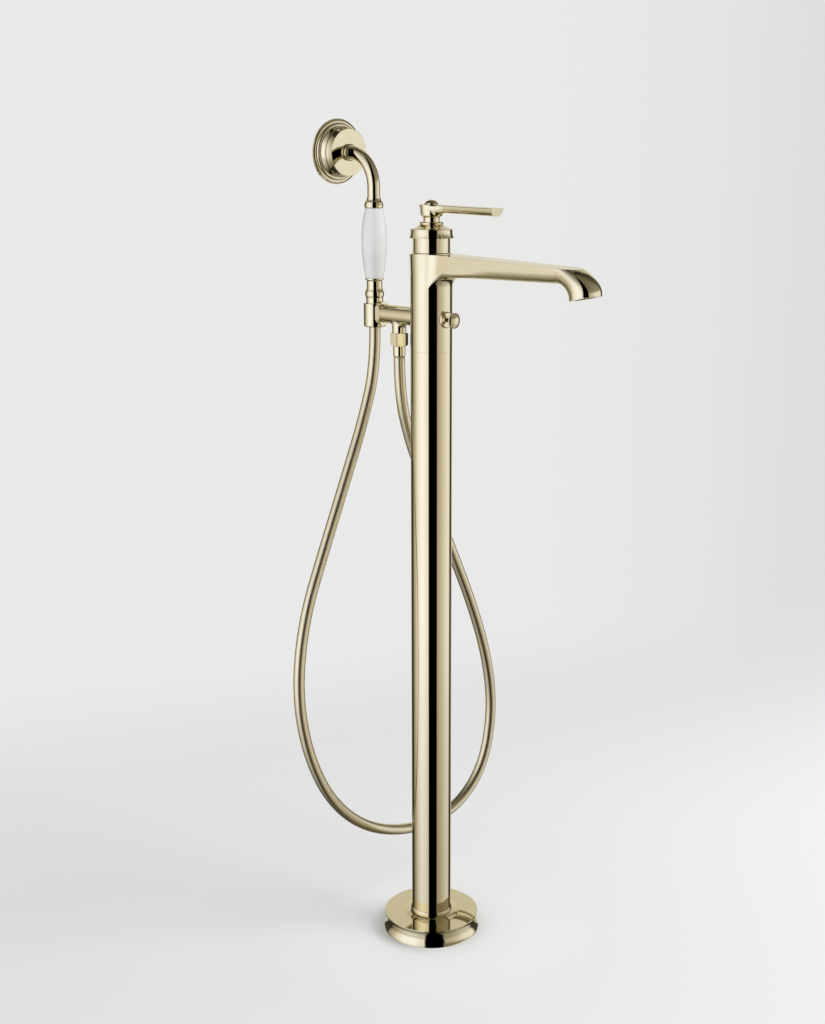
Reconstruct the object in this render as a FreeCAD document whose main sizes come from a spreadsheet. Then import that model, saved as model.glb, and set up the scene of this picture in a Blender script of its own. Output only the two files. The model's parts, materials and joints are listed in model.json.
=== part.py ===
"""Freestanding bath mixer: a column on the floor with a lever mixer, a cast spout,
a pull diverter and a hand shower that rests in a holder on a short arm.

Frame: millimetres, +Z up, +X along the spout, origin on the floor under the column's centre.
"""
import FreeCAD, Part
import math
import os
import re

import Sketcher
from FreeCAD import Placement, Rotation, Vector

SIZES = {
    # fits
    "fit_gap": 0.15,  # radial gap between pieces that are fixed in each other
    "thread_gap": 0.05,  # radial gap that stands for a thread
    "slide_gap": 0.3,  # gap between pieces that move on each other
    # floor plate and column
    "plate_gap": 3.85,  # between the plate's rim and the cover's wall around it
    "plate_thickness": 8.0,
    "bolt_circle_dia": 84.0,
    "bolt_hole_dia": 9.0,
    "tail_opening_dia": 41.0,  # way through the plate for the two supply hoses
    "socket_height": 46.0,
    "column_dia": 50.0,
    "column_wall": 1.5,
    "seam_height": 749.5,  # where the column ends and the mixer body starts
    "grub_screw_dia": 5.0,
    "foot_screw_height": 15.0,
    "spigot_length": 22.0,  # part of the body that plugs into the column
    # supply hoses
    "inlet_offset": 9.9,
    "inlet_rise": 2.0,
    "inlet_nut_flats": 19.0,
    "inlet_nut_height": 14.0,
    "inlet_thread_dia": 15.0,
    "inlet_thread_length": 10.0,
    "supply_flange": 2.0,
    "supply_dia": 11.0,
    "supply_wall": 1.5,
    "stem_hex_height": 8.0,
    "stem_thread_dia": 10.0,
    # base cover and foot ring
    "cover_height": 22.0,
    "cover_bottom_dia": 121.8,
    "cover_rim_dia": 119.4,
    "cover_waist_depth": 1.6,  # how far the waist lies inside the rim
    "cover_wall": 1.8,
    "cover_edge": 1.2,
    "cover_boss_dia": 72.0,
    "cover_boss_rise": 2.4,  # shallow cove on the cover round the column
    "foot_ring_height": 5.0,
    "foot_ring_dia": 52.8,
    # mixer body
    "body_height": 113.5,
    "body_flare": 1.1,
    "flare_height": 37.0,
    "well_dia": 35.2,  # bore that takes the cartridge
    "well_depth": 25.0,
    "well_wall": 1.3,
    "well_neck_height": 18.0,
    "passage_dia": 7.0,
    "passage_offset": 11.0,
    # spout
    "spout_reach": 233.3,
    "spout_width": 35.0,
    "spout_slope": 2.0,  # degrees
    "spout_root_depth": 25.0,
    "spout_tip_depth": 17.5,
    "spout_wall": 3.2,
    "root_side_round": 25.0,
    "root_under_round": 14.0,
    "bend_radius": 25.3,
    "bend_angle": 60.0,  # degrees
    "mouth_run": 18.8,
    "mouth_width": 37.4,
    "mouth_depth": 33.4,
    "mouth_tilt": 12.0,  # degrees
    "aerator_dia": 24.0,
    "aerator_height": 9.0,
    # neck, cap and lever
    "neck_dia": 44.4,
    "neck_height": 18.7,
    "neck_foot_dia": 46.8,
    "neck_foot_height": 1.8,
    "cap_skirt_dia": 53.0,
    "cap_shoulder_dia": 49.6,
    "cap_skirt_height": 10.4,
    "cap_dome_height": 4.7,
    "cap_wall": 1.5,
    "bead_dia": 29.0,
    "bead_height": 3.4,
    "stem_dia": 19.2,
    "stem_height": 4.2,
    "hub_height": 15.2,
    "hub_lip_dia": 25.4,
    "hub_lip_height": 3.0,
    "hub_top_dia": 28.2,
    "finial_dia": 16.6,
    "finial_height": 5.8,
    "lever_reach": 105.4,
    "lever_root_width": 12.0,
    "lever_tip_width": 19.0,
    "lever_root_depth": 8.8,
    "lever_tip_depth": 9.8,
    "lever_droop": 0.9,  # degrees
    "pivot_rise": 5.0,  # lever's tilt axis above the body's top
    # cartridge
    "spindle_dia": 9.0,
    "disc_dia": 24.0,
    "disc_thickness": 3.6,
    "disc_shift": 2.75,  # how far the moving disc rests behind the centre
    "rotor_dia": 28.0,
    # diverter and shower arm
    "arm_above_seam": 38.1,
    "arm_dia": 22.4,
    "arm_end": 82.0,  # distance of the arm's end from the column's axis
    "arm_edge_round": 2.5,
    "arm_spigot_dia": 16.0,
    "water_dia": 10.0,
    "valve_bore_dia": 11.2,
    "rosette_dia": 19.4,
    "rosette_thickness": 3.2,
    "diverter_rod_dia": 5.0,
    "knob_dia": 19.4,
    "knob_length": 12.0,
    "knob_gap": 2.4,
    "outlet_offset": 55.6,  # distance of the hose outlet from the column's axis
    "outlet_neck_dia": 17.5,
    "outlet_round": 5.5,
    "outlet_drop": 21.1,  # from the arm's axis to the top of the nut
    "nut_flats": 19.4,
    "nut_height": 16.0,
    "outlet_thread_dia": 15.4,
    "outlet_thread_length": 10.0,
    # hose
    "hose_dia": 14.0,
    "hose_wall": 1.2,
    "liner_dia": 11.2,
    "liner_wall": 1.6,
    "ferrule_dia": 15.2,
    "ferrule_length": 12.3,
    # holder
    "holder_reach": 99.0,  # distance of the handset's axis from the column's axis
    "holder_dia": 27.2,
    "holder_rise": 50.0,  # holder's top above the seam
    "holder_height": 29.0,
    "holder_slot": 15.4,
    "holder_edge_round": 2.0,
    "boss_width": 18.0,
    "boss_height": 28.6,
    # handset
    "cone_top_dia": 21.0,
    "cone_tip_dia": 17.0,
    "cone_height": 32.0,
    "cone_parallel": 6.5,
    "groove_rise": 56.5,  # joint between the cone and the handset's ferrule, above the seam
    "handset_bore_dia": 9.0,
    "tail_thread_dia": 14.2,
    "tail_thread_length": 20.0,
    "handset_ferrule_height": 23.3,
    "washer_thickness": 0.8,
    "porcelain_length": 82.5,
    "porcelain_foot_dia": 22.4,
    "porcelain_belly_dia": 31.2,
    "porcelain_head_dia": 22.0,
    "belly_height": 46.0,
    "handle_tube_dia": 14.0,
    "bell_height": 12.6,
    "bell_dia": 23.2,
    "tube_socket": 6.0,  # how far the handle tube stands in the bell collar
    "gooseneck_dia": 15.4,
    "gooseneck_radius": 41.0,
    "head_rise": 172.6,  # middle of the head's back face above that joint
    "head_offset": 44.1,  # distance of the head's back face from the handset's axis
    "head_tilt": 3.0,  # degrees
    "head_back_dia": 56.8,
    "head_dia": 78.6,
    "head_depth": 23.0,
    "head_wall": 1.8,
    "collar_dia": 20.4,
    "collar_length": 4.8,
}

# Places worked out from the sizes, as expression text
COVER_WAIST = "(cover_rim_dia / 2 - cover_waist_depth)"
PLATE_RADIUS = "(cover_bottom_dia / 4 + (cover_rim_dia / 2 - cover_waist_depth) / 2 - cover_wall - plate_gap)"
COLUMN_BORE = "(column_dia / 2 - column_wall)"
SOCKET_RADIUS = "(column_dia / 2 - column_wall - fit_gap)"
BODY_TOP = "(seam_height + body_height)"
WELL_FLOOR = "(seam_height + body_height - well_depth)"
NECK_TOP = "(seam_height + body_height + neck_height)"
CAP_BOTTOM = "(seam_height + body_height + neck_height - 0.4)"
CAP_SHOULDER = "(seam_height + body_height + neck_height - 0.4 + cap_skirt_height)"
CAP_TOP = "(seam_height + body_height + neck_height - 0.4 + cap_skirt_height + cap_dome_height)"
STEM_TOP = "(seam_height + body_height + neck_height - 0.4 + cap_skirt_height + cap_dome_height + bead_height + stem_height)"
HUB_TOP = STEM_TOP[:-1] + " + hub_height)"
PIVOT = "(seam_height + body_height + pivot_rise)"
ARM_HEIGHT = "(seam_height + arm_above_seam)"
NUT_TOP = "(seam_height + arm_above_seam - outlet_drop)"
NUT_BOTTOM = "(seam_height + arm_above_seam - outlet_drop - nut_height)"
GROOVE = "(seam_height + groove_rise)"
HOLDER_TOP = "(seam_height + holder_rise)"
CONE_TIP = "(seam_height + groove_rise - cone_height)"
FERRULE_TOP = "(seam_height + groove_rise + handset_ferrule_height)"
PORCELAIN_FOOT = "(seam_height + groove_rise + handset_ferrule_height + washer_thickness)"
PORCELAIN_TOP = PORCELAIN_FOOT[:-1] + " + washer_thickness + porcelain_length)"
BELL_TOP = PORCELAIN_TOP[:-1] + " + bell_height)"
HEAD_HEIGHT = "(seam_height + groove_rise + head_rise)"

UP = Rotation()
OUT_FRONT = Rotation(Vector(0, 1, 0), 90)
OUT_BACK = Rotation(Vector(0, 1, 0), -90)

doc = FreeCAD.newDocument("bath_mixer")
sheet = doc.addObject("Spreadsheet::Sheet", "sizes")
nodes = []


def fill_sheet():
    for row, (name, number) in enumerate(SIZES.items(), start=1):
        sheet.set(f"A{row}", name)
        sheet.set(f"B{row}", str(number))
        sheet.setAlias(f"B{row}", name)
    doc.recompute()


def bind(text):
    """Points every size name in an expression at the sheet."""
    return re.sub(r"[a-z]\w+_\w+", lambda match: "sizes." + match.group(), text)


def value(text):
    return float(sheet.evalExpression(bind(text)))


def node(thing):
    """Marks an object as a piece of the product; its label names its file."""
    nodes.append(thing)
    return thing


def place(thing, at=("0", "0", "0"), turn=UP):
    """Puts an object at a bound place, turned about that place."""
    thing.Placement = Placement(Vector(*[value(text) for text in at]), turn)
    for axis, text in zip("xyz", at):
        if text != "0":
            thing.setExpression(f"Placement.Base.{axis}", bind(text))
    return thing


def body_plane(body, role):
    return next(plane for plane in body.Origin.OriginFeatures if plane.Role == role)


def arc_between(start, end, radius, side):
    """Arc from start to end; side is 1 when it turns left on the way and -1 when it turns right."""
    chord = end - start
    middle = (start + end) * 0.5
    left = Vector(-chord.y, chord.x, 0).normalize()
    rise = math.sqrt(max(radius**2 - (chord.Length / 2) ** 2, 0))
    centre = middle + left * (rise * side)
    angle = [math.atan2((p - centre).y, (p - centre).x) for p in (start, end)]
    if side < 0:
        angle.reverse()
    return Part.ArcOfCircle(Part.Circle(centre, Vector(0, 0, 1), radius), angle[0], angle[1])


def draw(sketch, corners):
    """Closed outline through corners of bound coordinates.

    A corner is (across, up) or (across, up, radius, side), where the edge that arrives at it is an arc.
    """
    points = [Vector(value(corner[0]), value(corner[1]), 0) for corner in corners]
    starts = []
    for i, corner in enumerate(corners):
        before, here = points[i - 1], points[i]
        if len(corner) == 4:
            sketch.addGeometry(arc_between(before, here, value(corner[2]), corner[3]), False)
            starts.append((1, 2) if corner[3] > 0 else (2, 1))
        else:
            sketch.addGeometry(Part.LineSegment(before, here), False)
            starts.append((1, 2))
    for i, corner in enumerate(corners):
        after = (i + 1) % len(corners)
        sketch.addConstraint(Sketcher.Constraint("Coincident", i, starts[i][1], after, starts[after][0]))
    for i, corner in enumerate(corners):
        end = starts[i][1]
        for kind, text, axis in (("DistanceX", corner[0], -2), ("DistanceY", corner[1], -1)):
            if text == "0":
                sketch.addConstraint(Sketcher.Constraint("PointOnObject", i, end, axis))
            else:
                index = sketch.addConstraint(Sketcher.Constraint(kind, -1, 1, i, end, value(text)))
                sketch.setExpression(f"Constraints[{index}]", bind(text))
        if len(corner) == 4:
            index = sketch.addConstraint(Sketcher.Constraint("Radius", i, value(corner[2])))
            sketch.setExpression(f"Constraints[{index}]", bind(corner[2]))


def turned(label, corners, at=("0", "0", "0"), turn=UP):
    """A piece turned on a lathe: an outline of (radius, height) corners revolved about the upright axis."""
    body = doc.addObject("PartDesign::Body", label)
    sketch = body.newObject("Sketcher::SketchObject", label + "_outline")
    sketch.AttachmentSupport = (body_plane(body, "XZ_Plane"), [""])
    sketch.MapMode = "FlatFace"
    draw(sketch, corners)
    turning = body.newObject("PartDesign::Revolution", label + "_turning")
    turning.Profile = sketch
    turning.ReferenceAxis = (sketch, ["V_Axis"])
    turning.Angle = 360
    place(body, at, turn)
    return body


def ring(label, inner, outer, bottom, top, at=("0", "0", "0"), turn=UP):
    """A plain ring or, with an inner radius of "0", a plain disc."""
    return turned(label, [(inner, bottom), (outer, bottom), (outer, top), (inner, top)], at, turn)


def cylinder(label, radius, height, at=("0", "0", "0"), turn=UP):
    thing = doc.addObject("Part::Cylinder", label)
    thing.setExpression("Radius", bind(radius))
    thing.setExpression("Height", bind(height))
    return place(thing, at, turn)


def block(label, size, at, turn=UP):
    """A box whose place is its lowest corner."""
    thing = doc.addObject("Part::Box", label)
    for side, text in zip(("Length", "Width", "Height"), size):
        thing.setExpression(side, bind(text))
    return place(thing, at, turn)


def fuse(label, pieces):
    thing = doc.addObject("Part::MultiFuse", label)
    thing.Shapes = pieces
    return thing


def cut(label, base, tools):
    tool = tools[0] if len(tools) == 1 else fuse(label + "_tools", tools)
    thing = doc.addObject("Part::Cut", label)
    thing.Base = base
    thing.Tool = tool
    return thing


def group(label, pieces):
    thing = doc.addObject("Part::Compound", label)
    thing.Links = pieces
    return thing


def lofted(sections):
    """Smooth solid through sections, of low degree so that it does not swing out between them."""
    return Part.makeLoft(sections, True, False, False, 2)


def solid_feature(label, shape, at=("0", "0", "0"), turn=UP):
    thing = doc.addObject("Part::Feature", label)
    thing.Shape = shape
    return place(thing, at, turn)


def spread(label, count, radius, first_angle, make):
    """Copies round the column's axis: make(name, place, turn) builds one, pointing away from the axis."""
    made = []
    for i in range(count):
        angle = first_angle + 360.0 * i / count
        across, along = math.cos(math.radians(angle)), math.sin(math.radians(angle))
        turn = Rotation(Vector(0, 0, 1), angle).multiply(OUT_FRONT)
        made.append(make(f"{label}_{i + 1}", (f"{across:.6f} * {radius}", f"{along:.6f} * {radius}"), turn))
    return made


def floor_plate():
    body = doc.addObject("PartDesign::Body", "floor_plate")
    sketch = body.newObject("Sketcher::SketchObject", "floor_plate_outline")
    sketch.AttachmentSupport = (body_plane(body, "XY_Plane"), [""])
    sketch.MapMode = "FlatFace"
    for radius in (PLATE_RADIUS, "tail_opening_dia / 2"):
        circle = sketch.addGeometry(Part.Circle(Vector(), Vector(0, 0, 1), value(radius)), False)
        sketch.addConstraint(Sketcher.Constraint("Coincident", circle, 3, -1, 1))
        index = sketch.addConstraint(Sketcher.Constraint("Radius", circle, value(radius)))
        sketch.setExpression(f"Constraints[{index}]", bind(radius))
    pad = body.newObject("PartDesign::Pad", "floor_plate_pad")
    pad.Profile = sketch
    pad.setExpression("Length", bind("plate_thickness"))
    doc.recompute()
    holes = body.newObject("Sketcher::SketchObject", "bolt_hole_outline")
    holes.AttachmentSupport = (body_plane(body, "XY_Plane"), [""])
    holes.MapMode = "FlatFace"
    hole = holes.addGeometry(Part.Circle(Vector(SIZES["bolt_circle_dia"] / 2, 0, 0), Vector(0, 0, 1),
                                         SIZES["bolt_hole_dia"] / 2), False)
    holes.addConstraint(Sketcher.Constraint("PointOnObject", hole, 3, -1))
    index = holes.addConstraint(Sketcher.Constraint("DistanceX", -1, 1, hole, 3, SIZES["bolt_circle_dia"] / 2))
    holes.setExpression(f"Constraints[{index}]", bind("bolt_circle_dia / 2"))
    index = holes.addConstraint(Sketcher.Constraint("Diameter", hole, SIZES["bolt_hole_dia"]))
    holes.setExpression(f"Constraints[{index}]", bind("bolt_hole_dia"))
    pocket = body.newObject("PartDesign::Pocket", "bolt_hole")
    pocket.Profile = holes
    pocket.Reversed = True
    pocket.Type = "ThroughAll"
    doc.recompute()
    pattern = body.newObject("PartDesign::PolarPattern", "bolt_holes")
    pattern.Originals = [pocket]
    pattern.Axis = (holes, ["N_Axis"])
    pattern.Angle = 360
    pattern.Occurrences = 4
    body.Tip = pattern
    doc.recompute()
    return node(body)


def column():
    socket = ring("column_socket_blank", "tail_opening_dia / 2", SOCKET_RADIUS, "plate_thickness",
                  "plate_thickness + socket_height")
    tube = ring("column_blank", COLUMN_BORE, "column_dia / 2", "plate_thickness", "seam_height")

    def foot_hole(name, spot, turn):
        return cylinder(name, "grub_screw_dia / 2 + thread_gap", "10", (*spot, "foot_screw_height"), turn)

    def body_hole(name, spot, turn):
        return cylinder(name, "grub_screw_dia / 2 + thread_gap", "10", (*spot, "seam_height - spigot_length / 2"), turn)

    threads = spread("socket_thread", 3, "(column_dia / 2 - 6)", 90, foot_hole)
    node(cut("column_socket", socket, threads))
    holes = spread("foot_screw_hole", 3, "(column_dia / 2 - 5)", 90, foot_hole)
    holes += spread("body_screw_hole", 3, "(column_dia / 2 - 5)", 60, body_hole)[:2]
    node(cut("column_tube", tube, holes))


def grub_screws():
    """Socket screws that lock the column on its socket and the body in the column."""
    length = "(column_wall + fit_gap + 3.2)"

    def screw(height):
        def make(name, spot, turn):
            blank = cylinder(name + "_blank", "grub_screw_dia / 2", length, (*spot, height), turn)
            key = doc.addObject("Part::Prism", name + "_key")
            key.Polygon = 6
            key.setExpression("Circumradius", bind("grub_screw_dia * 0.28"))
            key.setExpression("Height", "2")
            reach = f"({length} - 1.5) / (column_dia / 2 - 5)"
            place(key, (f"{spot[0]} * (1 + {reach})", f"{spot[1]} * (1 + {reach})", height), turn)
            return cut(name, blank, [key])
        return make

    radius = "(column_dia / 2 - 0.1 - column_wall - fit_gap - 3.2)"
    feet = spread("foot_screw", 3, radius, 90, screw("foot_screw_height"))
    node(group("column_grub_screws", feet))
    tops = spread("body_screw", 3, radius, 60, screw("seam_height - spigot_length / 2"))
    node(group("body_grub_screws", tops[:2]))


def span(across, along):
    """Length of a chord from its two sides; an arc's radius is given as a share of it."""
    return f"sqrt(({across}) ^ 2 + ({along}) ^ 2)"


def base_cover():
    waist_height = "cover_height * 0.62"
    lower = span(f"cover_bottom_dia / 2 - {COVER_WAIST}", f"{waist_height} - cover_edge")
    upper = span("cover_waist_depth", f"cover_height - cover_edge - {waist_height}")
    node(turned("base_cover", [
        ("cover_bottom_dia / 2 - cover_wall", "0"),
        ("cover_bottom_dia / 2", "0"),
        ("cover_bottom_dia / 2", "cover_edge"),
        (COVER_WAIST, waist_height, f"1.383 * {lower}", -1),
        ("cover_rim_dia / 2", "cover_height - cover_edge", f"1.788 * {upper}", -1),
        ("cover_rim_dia / 2", "cover_height"),
        ("cover_boss_dia / 2", "cover_height"),
        ("column_dia / 2 + fit_gap", "cover_height + cover_boss_rise", "cover_boss_dia * 0.44", -1),
        ("column_dia / 2 + fit_gap", "cover_height - cover_wall"),
        (f"{COVER_WAIST} - cover_wall", "cover_height - cover_wall"),
        (f"{COVER_WAIST} - cover_wall", waist_height),
    ]))
    ring_foot = "cover_height + cover_boss_rise"
    node(turned("foot_ring", [
        ("column_dia / 2 + fit_gap", ring_foot),
        ("foot_ring_dia / 2 - 0.4", ring_foot),
        ("foot_ring_dia / 2 - 0.4", ring_foot + " + foot_ring_height - 0.8", "foot_ring_height * 1.4", 1),
        ("column_dia / 2 + fit_gap + 0.25", ring_foot + " + foot_ring_height"),
        ("column_dia / 2 + fit_gap", ring_foot + " + foot_ring_height"),
    ]))


def supply_hoses():
    """Two flexible supply hoses inside the column, with their nuts and upper stems."""
    nuts, washers, stems = [], [], []
    thread_top = "(inlet_rise + inlet_thread_length)"
    nut_top = "(inlet_rise + inlet_nut_height)"
    stem_foot = "(seam_height - spigot_length - stem_hex_height)"
    for name, side in (("hot", 1), ("cold", -1)):
        spot = ("0", f"{side} * inlet_offset")
        hexagon = doc.addObject("Part::Prism", f"{name}_nut_blank")
        hexagon.Polygon = 6
        hexagon.setExpression("Circumradius", bind("inlet_nut_flats / 2 / cos(30)"))
        hexagon.setExpression("Height", bind("inlet_nut_height"))
        place(hexagon, (*spot, "inlet_rise"))
        nuts.append(cut(f"{name}_nut", hexagon, [
            cylinder(f"{name}_nut_thread", "inlet_thread_dia / 2", "inlet_thread_length + 0.1",
                     (*spot, "inlet_rise - 0.1")),
            cylinder(f"{name}_nut_recess", "inlet_thread_dia / 2 + 0.4", "supply_flange", (*spot, thread_top)),
            cylinder(f"{name}_nut_bore", "supply_dia / 2 + fit_gap", "inlet_nut_height", (*spot, thread_top))]))
        flange_top = thread_top + " + supply_flange"
        washers.append(ring(f"{name}_washer", "supply_dia / 2 - supply_wall", "inlet_thread_dia / 2 + 0.2",
                            thread_top + " + 0.4", flange_top + " - 0.05", (*spot, "0")))
        node(ring(f"{name}_supply_hose", "supply_dia / 2 - supply_wall", "supply_dia / 2", flange_top, stem_foot,
                  (*spot, "0")))
        stems.append(turned(f"{name}_stem", [
            ("supply_dia / 2 - supply_wall - 1", stem_foot),
            ("supply_dia / 2 + 0.4", stem_foot),
            ("supply_dia / 2 + 0.4", stem_foot + " + stem_hex_height"),
            ("stem_thread_dia / 2 - thread_gap", stem_foot + " + stem_hex_height"),
            ("stem_thread_dia / 2 - thread_gap", stem_foot + " + 3 * stem_hex_height"),
            ("supply_dia / 2 - supply_wall - 1", stem_foot + " + 3 * stem_hex_height"),
        ], (*spot, "0")))
    node(group("inlet_nuts", nuts))
    node(group("inlet_washers", washers))
    node(group("supply_stems", stems))


def outline_wire(half_width, crown, depth, centre, outward):
    """Section of the spout: a top edge and a boat-shaped lower edge, across the middle plane."""
    fullness = 0.82
    top, bottom = [], []
    for i in range(9):
        angle = math.pi * i / 8
        top.append(centre + Vector(0, -half_width * math.cos(angle), 0) + outward * (crown * math.sin(angle)))
    for i in range(17):
        angle = math.pi * i / 16
        across = math.copysign(abs(math.cos(angle)) ** fullness, math.cos(angle))
        bottom.append(centre + Vector(0, half_width * across, 0) - outward * (depth * math.sin(angle) ** fullness))
    edges = []
    for points in (top, bottom):
        curve = Part.BSplineCurve()
        curve.interpolate(points)
        edges.append(curve.toShape())
    return Part.Wire(edges)


def spout_sections(skin):
    """Sections along the spout; skin is how far inside the outer surface they lie."""
    barrel = value("column_dia / 2 + body_flare")
    half = value("spout_width / 2")
    top = value(BODY_TOP)
    slope = math.radians(value("spout_slope"))
    side_round, under_round = value("root_side_round"), value("root_under_round")
    side_end = math.sqrt((barrel + side_round) ** 2 - (half + side_round) ** 2)
    under_end = barrel + under_round
    bend = math.radians(value("bend_angle")) + slope
    radius, run = value("bend_radius"), value("mouth_run")
    bend_start = value("spout_reach") - radius * (math.sin(bend) - math.sin(slope)) - run * math.cos(bend)
    root_depth, tip_depth = value("spout_root_depth"), value("spout_tip_depth")
    mouth_half, mouth_depth = value("mouth_width / 2"), value("mouth_depth / 2")

    def ridge_height(x):
        return top - 0.05 - max(x - barrel, 0) * math.tan(slope)

    sections = []
    meeting = barrel * side_end / (barrel + side_round)
    stations = [meeting * 0.9, meeting + 2.0, meeting + 5.0, barrel - 1.5]
    stations += [under_end - under_round * share for share in (0.8, 0.55, 0.28, 0.0)]
    stations += [under_end + (bend_start - under_end) * share for share in (0.1, 0.25, 0.45, 0.65, 0.85, 1.0)]
    for x in stations:
        width = half
        if x < meeting:
            width = math.sqrt(barrel**2 - x**2) * 0.98
        elif x < side_end:
            width = half + side_round - math.sqrt(side_round**2 - (side_end - x) ** 2)
        depth = root_depth + (tip_depth - root_depth) * min(max((x - under_end) / (bend_start - under_end), 0), 1)
        if x < under_end:
            inside = min((under_end - x) / under_round, 1)
            depth += under_round * (1 - math.sqrt(1 - inside**2))
        centre = Vector(x, 0, ridge_height(x) - skin)
        sections.append(outline_wire(width - skin, 0.02, depth - 2 * skin, centre, Vector(0, 0, 1)))
    start = Vector(bend_start, 0, ridge_height(bend_start))
    tip = 1.0 if skin == 0 else 0.35
    for share, along in ((0.25, 0), (0.5, 0), (0.75, 0), (1, 0), (1, 0.5 * tip), (1, tip), (1, 1.9 * tip)):
        angle = slope + (bend - slope) * share
        spot = start + Vector(radius * (math.sin(angle) - math.sin(slope)), 0,
                              -radius * (math.cos(slope) - math.cos(angle)))
        spot += Vector(math.cos(bend), 0, -math.sin(bend)) * (run * along)
        outward = Vector(math.sin(angle), 0, math.cos(angle))
        grow = share * 0.75 + 0.25 * min(along / tip, 1.0)
        crown = mouth_depth * (0.85 * share**1.7 + 0.15 * min(along / tip, 1.0))
        depth = tip_depth + (mouth_depth - tip_depth) * grow
        width = half + (mouth_half - half) * grow
        centre = spot - outward * skin
        sections.append(outline_wire(width - skin, max(crown - skin * share, 0.02), depth - 2 * skin + skin * share,
                                     centre, outward))
    return sections


def mouth_place():
    """Middle of the spout's mouth and the direction in which the water leaves it."""
    slope = math.radians(value("spout_slope"))
    bend = math.radians(value("bend_angle")) + slope
    radius, run = value("bend_radius"), value("mouth_run")
    reach = value("spout_reach")
    bend_start = reach - radius * (math.sin(bend) - math.sin(slope)) - run * math.cos(bend)
    height = value(BODY_TOP) - (bend_start - value("column_dia / 2 + body_flare")) * math.tan(slope)
    height -= radius * (math.cos(slope) - math.cos(bend)) + run * math.sin(bend)
    tilt = math.radians(value("mouth_tilt"))
    return Vector(reach, 0, height), Vector(math.sin(tilt), 0, -math.cos(tilt))


def along_direction(direction):
    return Rotation(Vector(0, 0, 1), direction)


def mixer_body():
    """The casting: a barrel that plugs into the column, the cartridge well and the spout."""
    barrel = turned("body_barrel", [
        ("0", "seam_height - spigot_length"),
        (SOCKET_RADIUS, "seam_height - spigot_length"),
        (SOCKET_RADIUS, "seam_height"),
        ("column_dia / 2", "seam_height"),
        ("column_dia / 2", BODY_TOP + " - flare_height"),
        ("column_dia / 2 + body_flare", BODY_TOP, "(flare_height ^ 2 + body_flare ^ 2) / (2 * body_flare)", -1),
        ("well_dia / 2 + well_wall", BODY_TOP),
        ("well_dia / 2 + well_wall", BODY_TOP + " + well_neck_height"),
        ("0", BODY_TOP + " + well_neck_height"),
    ])
    outer = solid_feature("spout_skin", lofted(spout_sections(0)))
    mouth, outflow = mouth_place()
    reach = value("2 * mouth_width")
    trim = Part.makeBox(2 * reach, 2 * reach, reach, Vector(-reach, -reach, 0))
    trim.Placement = Placement(mouth, along_direction(outflow))
    mouth_trim = doc.addObject("Part::Feature", "mouth_trim")
    mouth_trim.Shape = trim
    trimmed = cut("spout_blank", outer, [mouth_trim])
    blank = fuse("body_blank", [barrel, trimmed])
    channel = solid_feature("spout_channel", lofted(spout_sections(value("spout_wall"))[2:]))
    aerator_bore = doc.addObject("Part::Cylinder", "aerator_bore")
    aerator_bore.setExpression("Radius", bind("aerator_dia / 2"))
    aerator_bore.setExpression("Height", bind("2 * aerator_height"))
    aerator_bore.Placement = Placement(mouth - outflow * (2 * value("aerator_height") - 1), along_direction(outflow))
    tools = [
        channel,
        aerator_bore,
        cylinder("cartridge_well", "well_dia / 2", "well_depth + well_neck_height + 1", ("0", "0", WELL_FLOOR)),
        cylinder("valve_bore", "valve_bore_dia / 2", "column_dia + 10", ("-column_dia / 2 - 5", "0", ARM_HEIGHT),
                 OUT_FRONT),
        cylinder("arm_port", "arm_spigot_dia / 2 + thread_gap", "12", ("-column_dia / 2 + 11", "0", ARM_HEIGHT),
                 OUT_BACK),
        cylinder("rosette_seat", "rosette_dia / 2 + fit_gap", "5", ("column_dia / 2 - 1", "0", ARM_HEIGHT), OUT_FRONT),
        cylinder("mixed_passage", "passage_dia / 2", WELL_FLOOR + " + 1 - " + ARM_HEIGHT, ("8", "0", ARM_HEIGHT)),
        cylinder("spout_riser", "2.8", "62", ("column_dia / 2 - 3.9", "0", ARM_HEIGHT)),
    ]
    for name, side in (("hot", 1), ("cold", -1)):
        tools.append(cylinder(f"{name}_passage", "passage_dia / 2", WELL_FLOOR + " - seam_height + spigot_length + 2",
                              ("0", f"{side} * passage_offset", "seam_height - spigot_length - 1")))
        tools.append(cylinder(f"{name}_inlet", "stem_thread_dia / 2", "2 * stem_hex_height + 2",
                              ("0", f"{side} * inlet_offset", "seam_height - spigot_length - 1")))

    def screw_hole(name, spot, turn):
        return cylinder(name, "grub_screw_dia / 2 + thread_gap", "10", (*spot, "seam_height - spigot_length / 2"), turn)

    tools += spread("body_thread", 3, "(column_dia / 2 - 5.2)", 60, screw_hole)[:2]
    node(cut("mixer_body", blank, tools))


def aerator():
    mouth, outflow = mouth_place()
    turn = along_direction(outflow * -1)
    rim = Placement(mouth - outflow * 0.6, turn)
    housing = turned("aerator_ring", [
        ("aerator_dia / 2 - 2", "0"), ("aerator_dia / 2 - thread_gap", "0"),
        ("aerator_dia / 2 - thread_gap", "aerator_height"), ("aerator_dia / 2 - 2", "aerator_height")])
    insert = turned("aerator_insert_blank", [
        ("0", "1"), ("aerator_dia / 2 - 2 - fit_gap", "1"),
        ("aerator_dia / 2 - 2 - fit_gap", "aerator_height - 0.5"), ("0", "aerator_height - 0.5")])
    for piece in (housing, insert):
        piece.Placement = rim
    node(housing)
    holes = []
    for count, radius in ((1, 0.0), (6, 3.2), (12, 6.4)):
        for i in range(count):
            angle = 2 * math.pi * i / count
            hole = Part.makeCylinder(1.0, 12, Vector(radius * math.cos(angle), radius * math.sin(angle), 0))
            holes.append(hole)
    mesh = doc.addObject("Part::Feature", "aerator_holes")
    mesh.Shape = Part.makeCompound(holes)
    mesh.Placement = rim
    node(cut("aerator_insert", insert, [mesh]))


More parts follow.
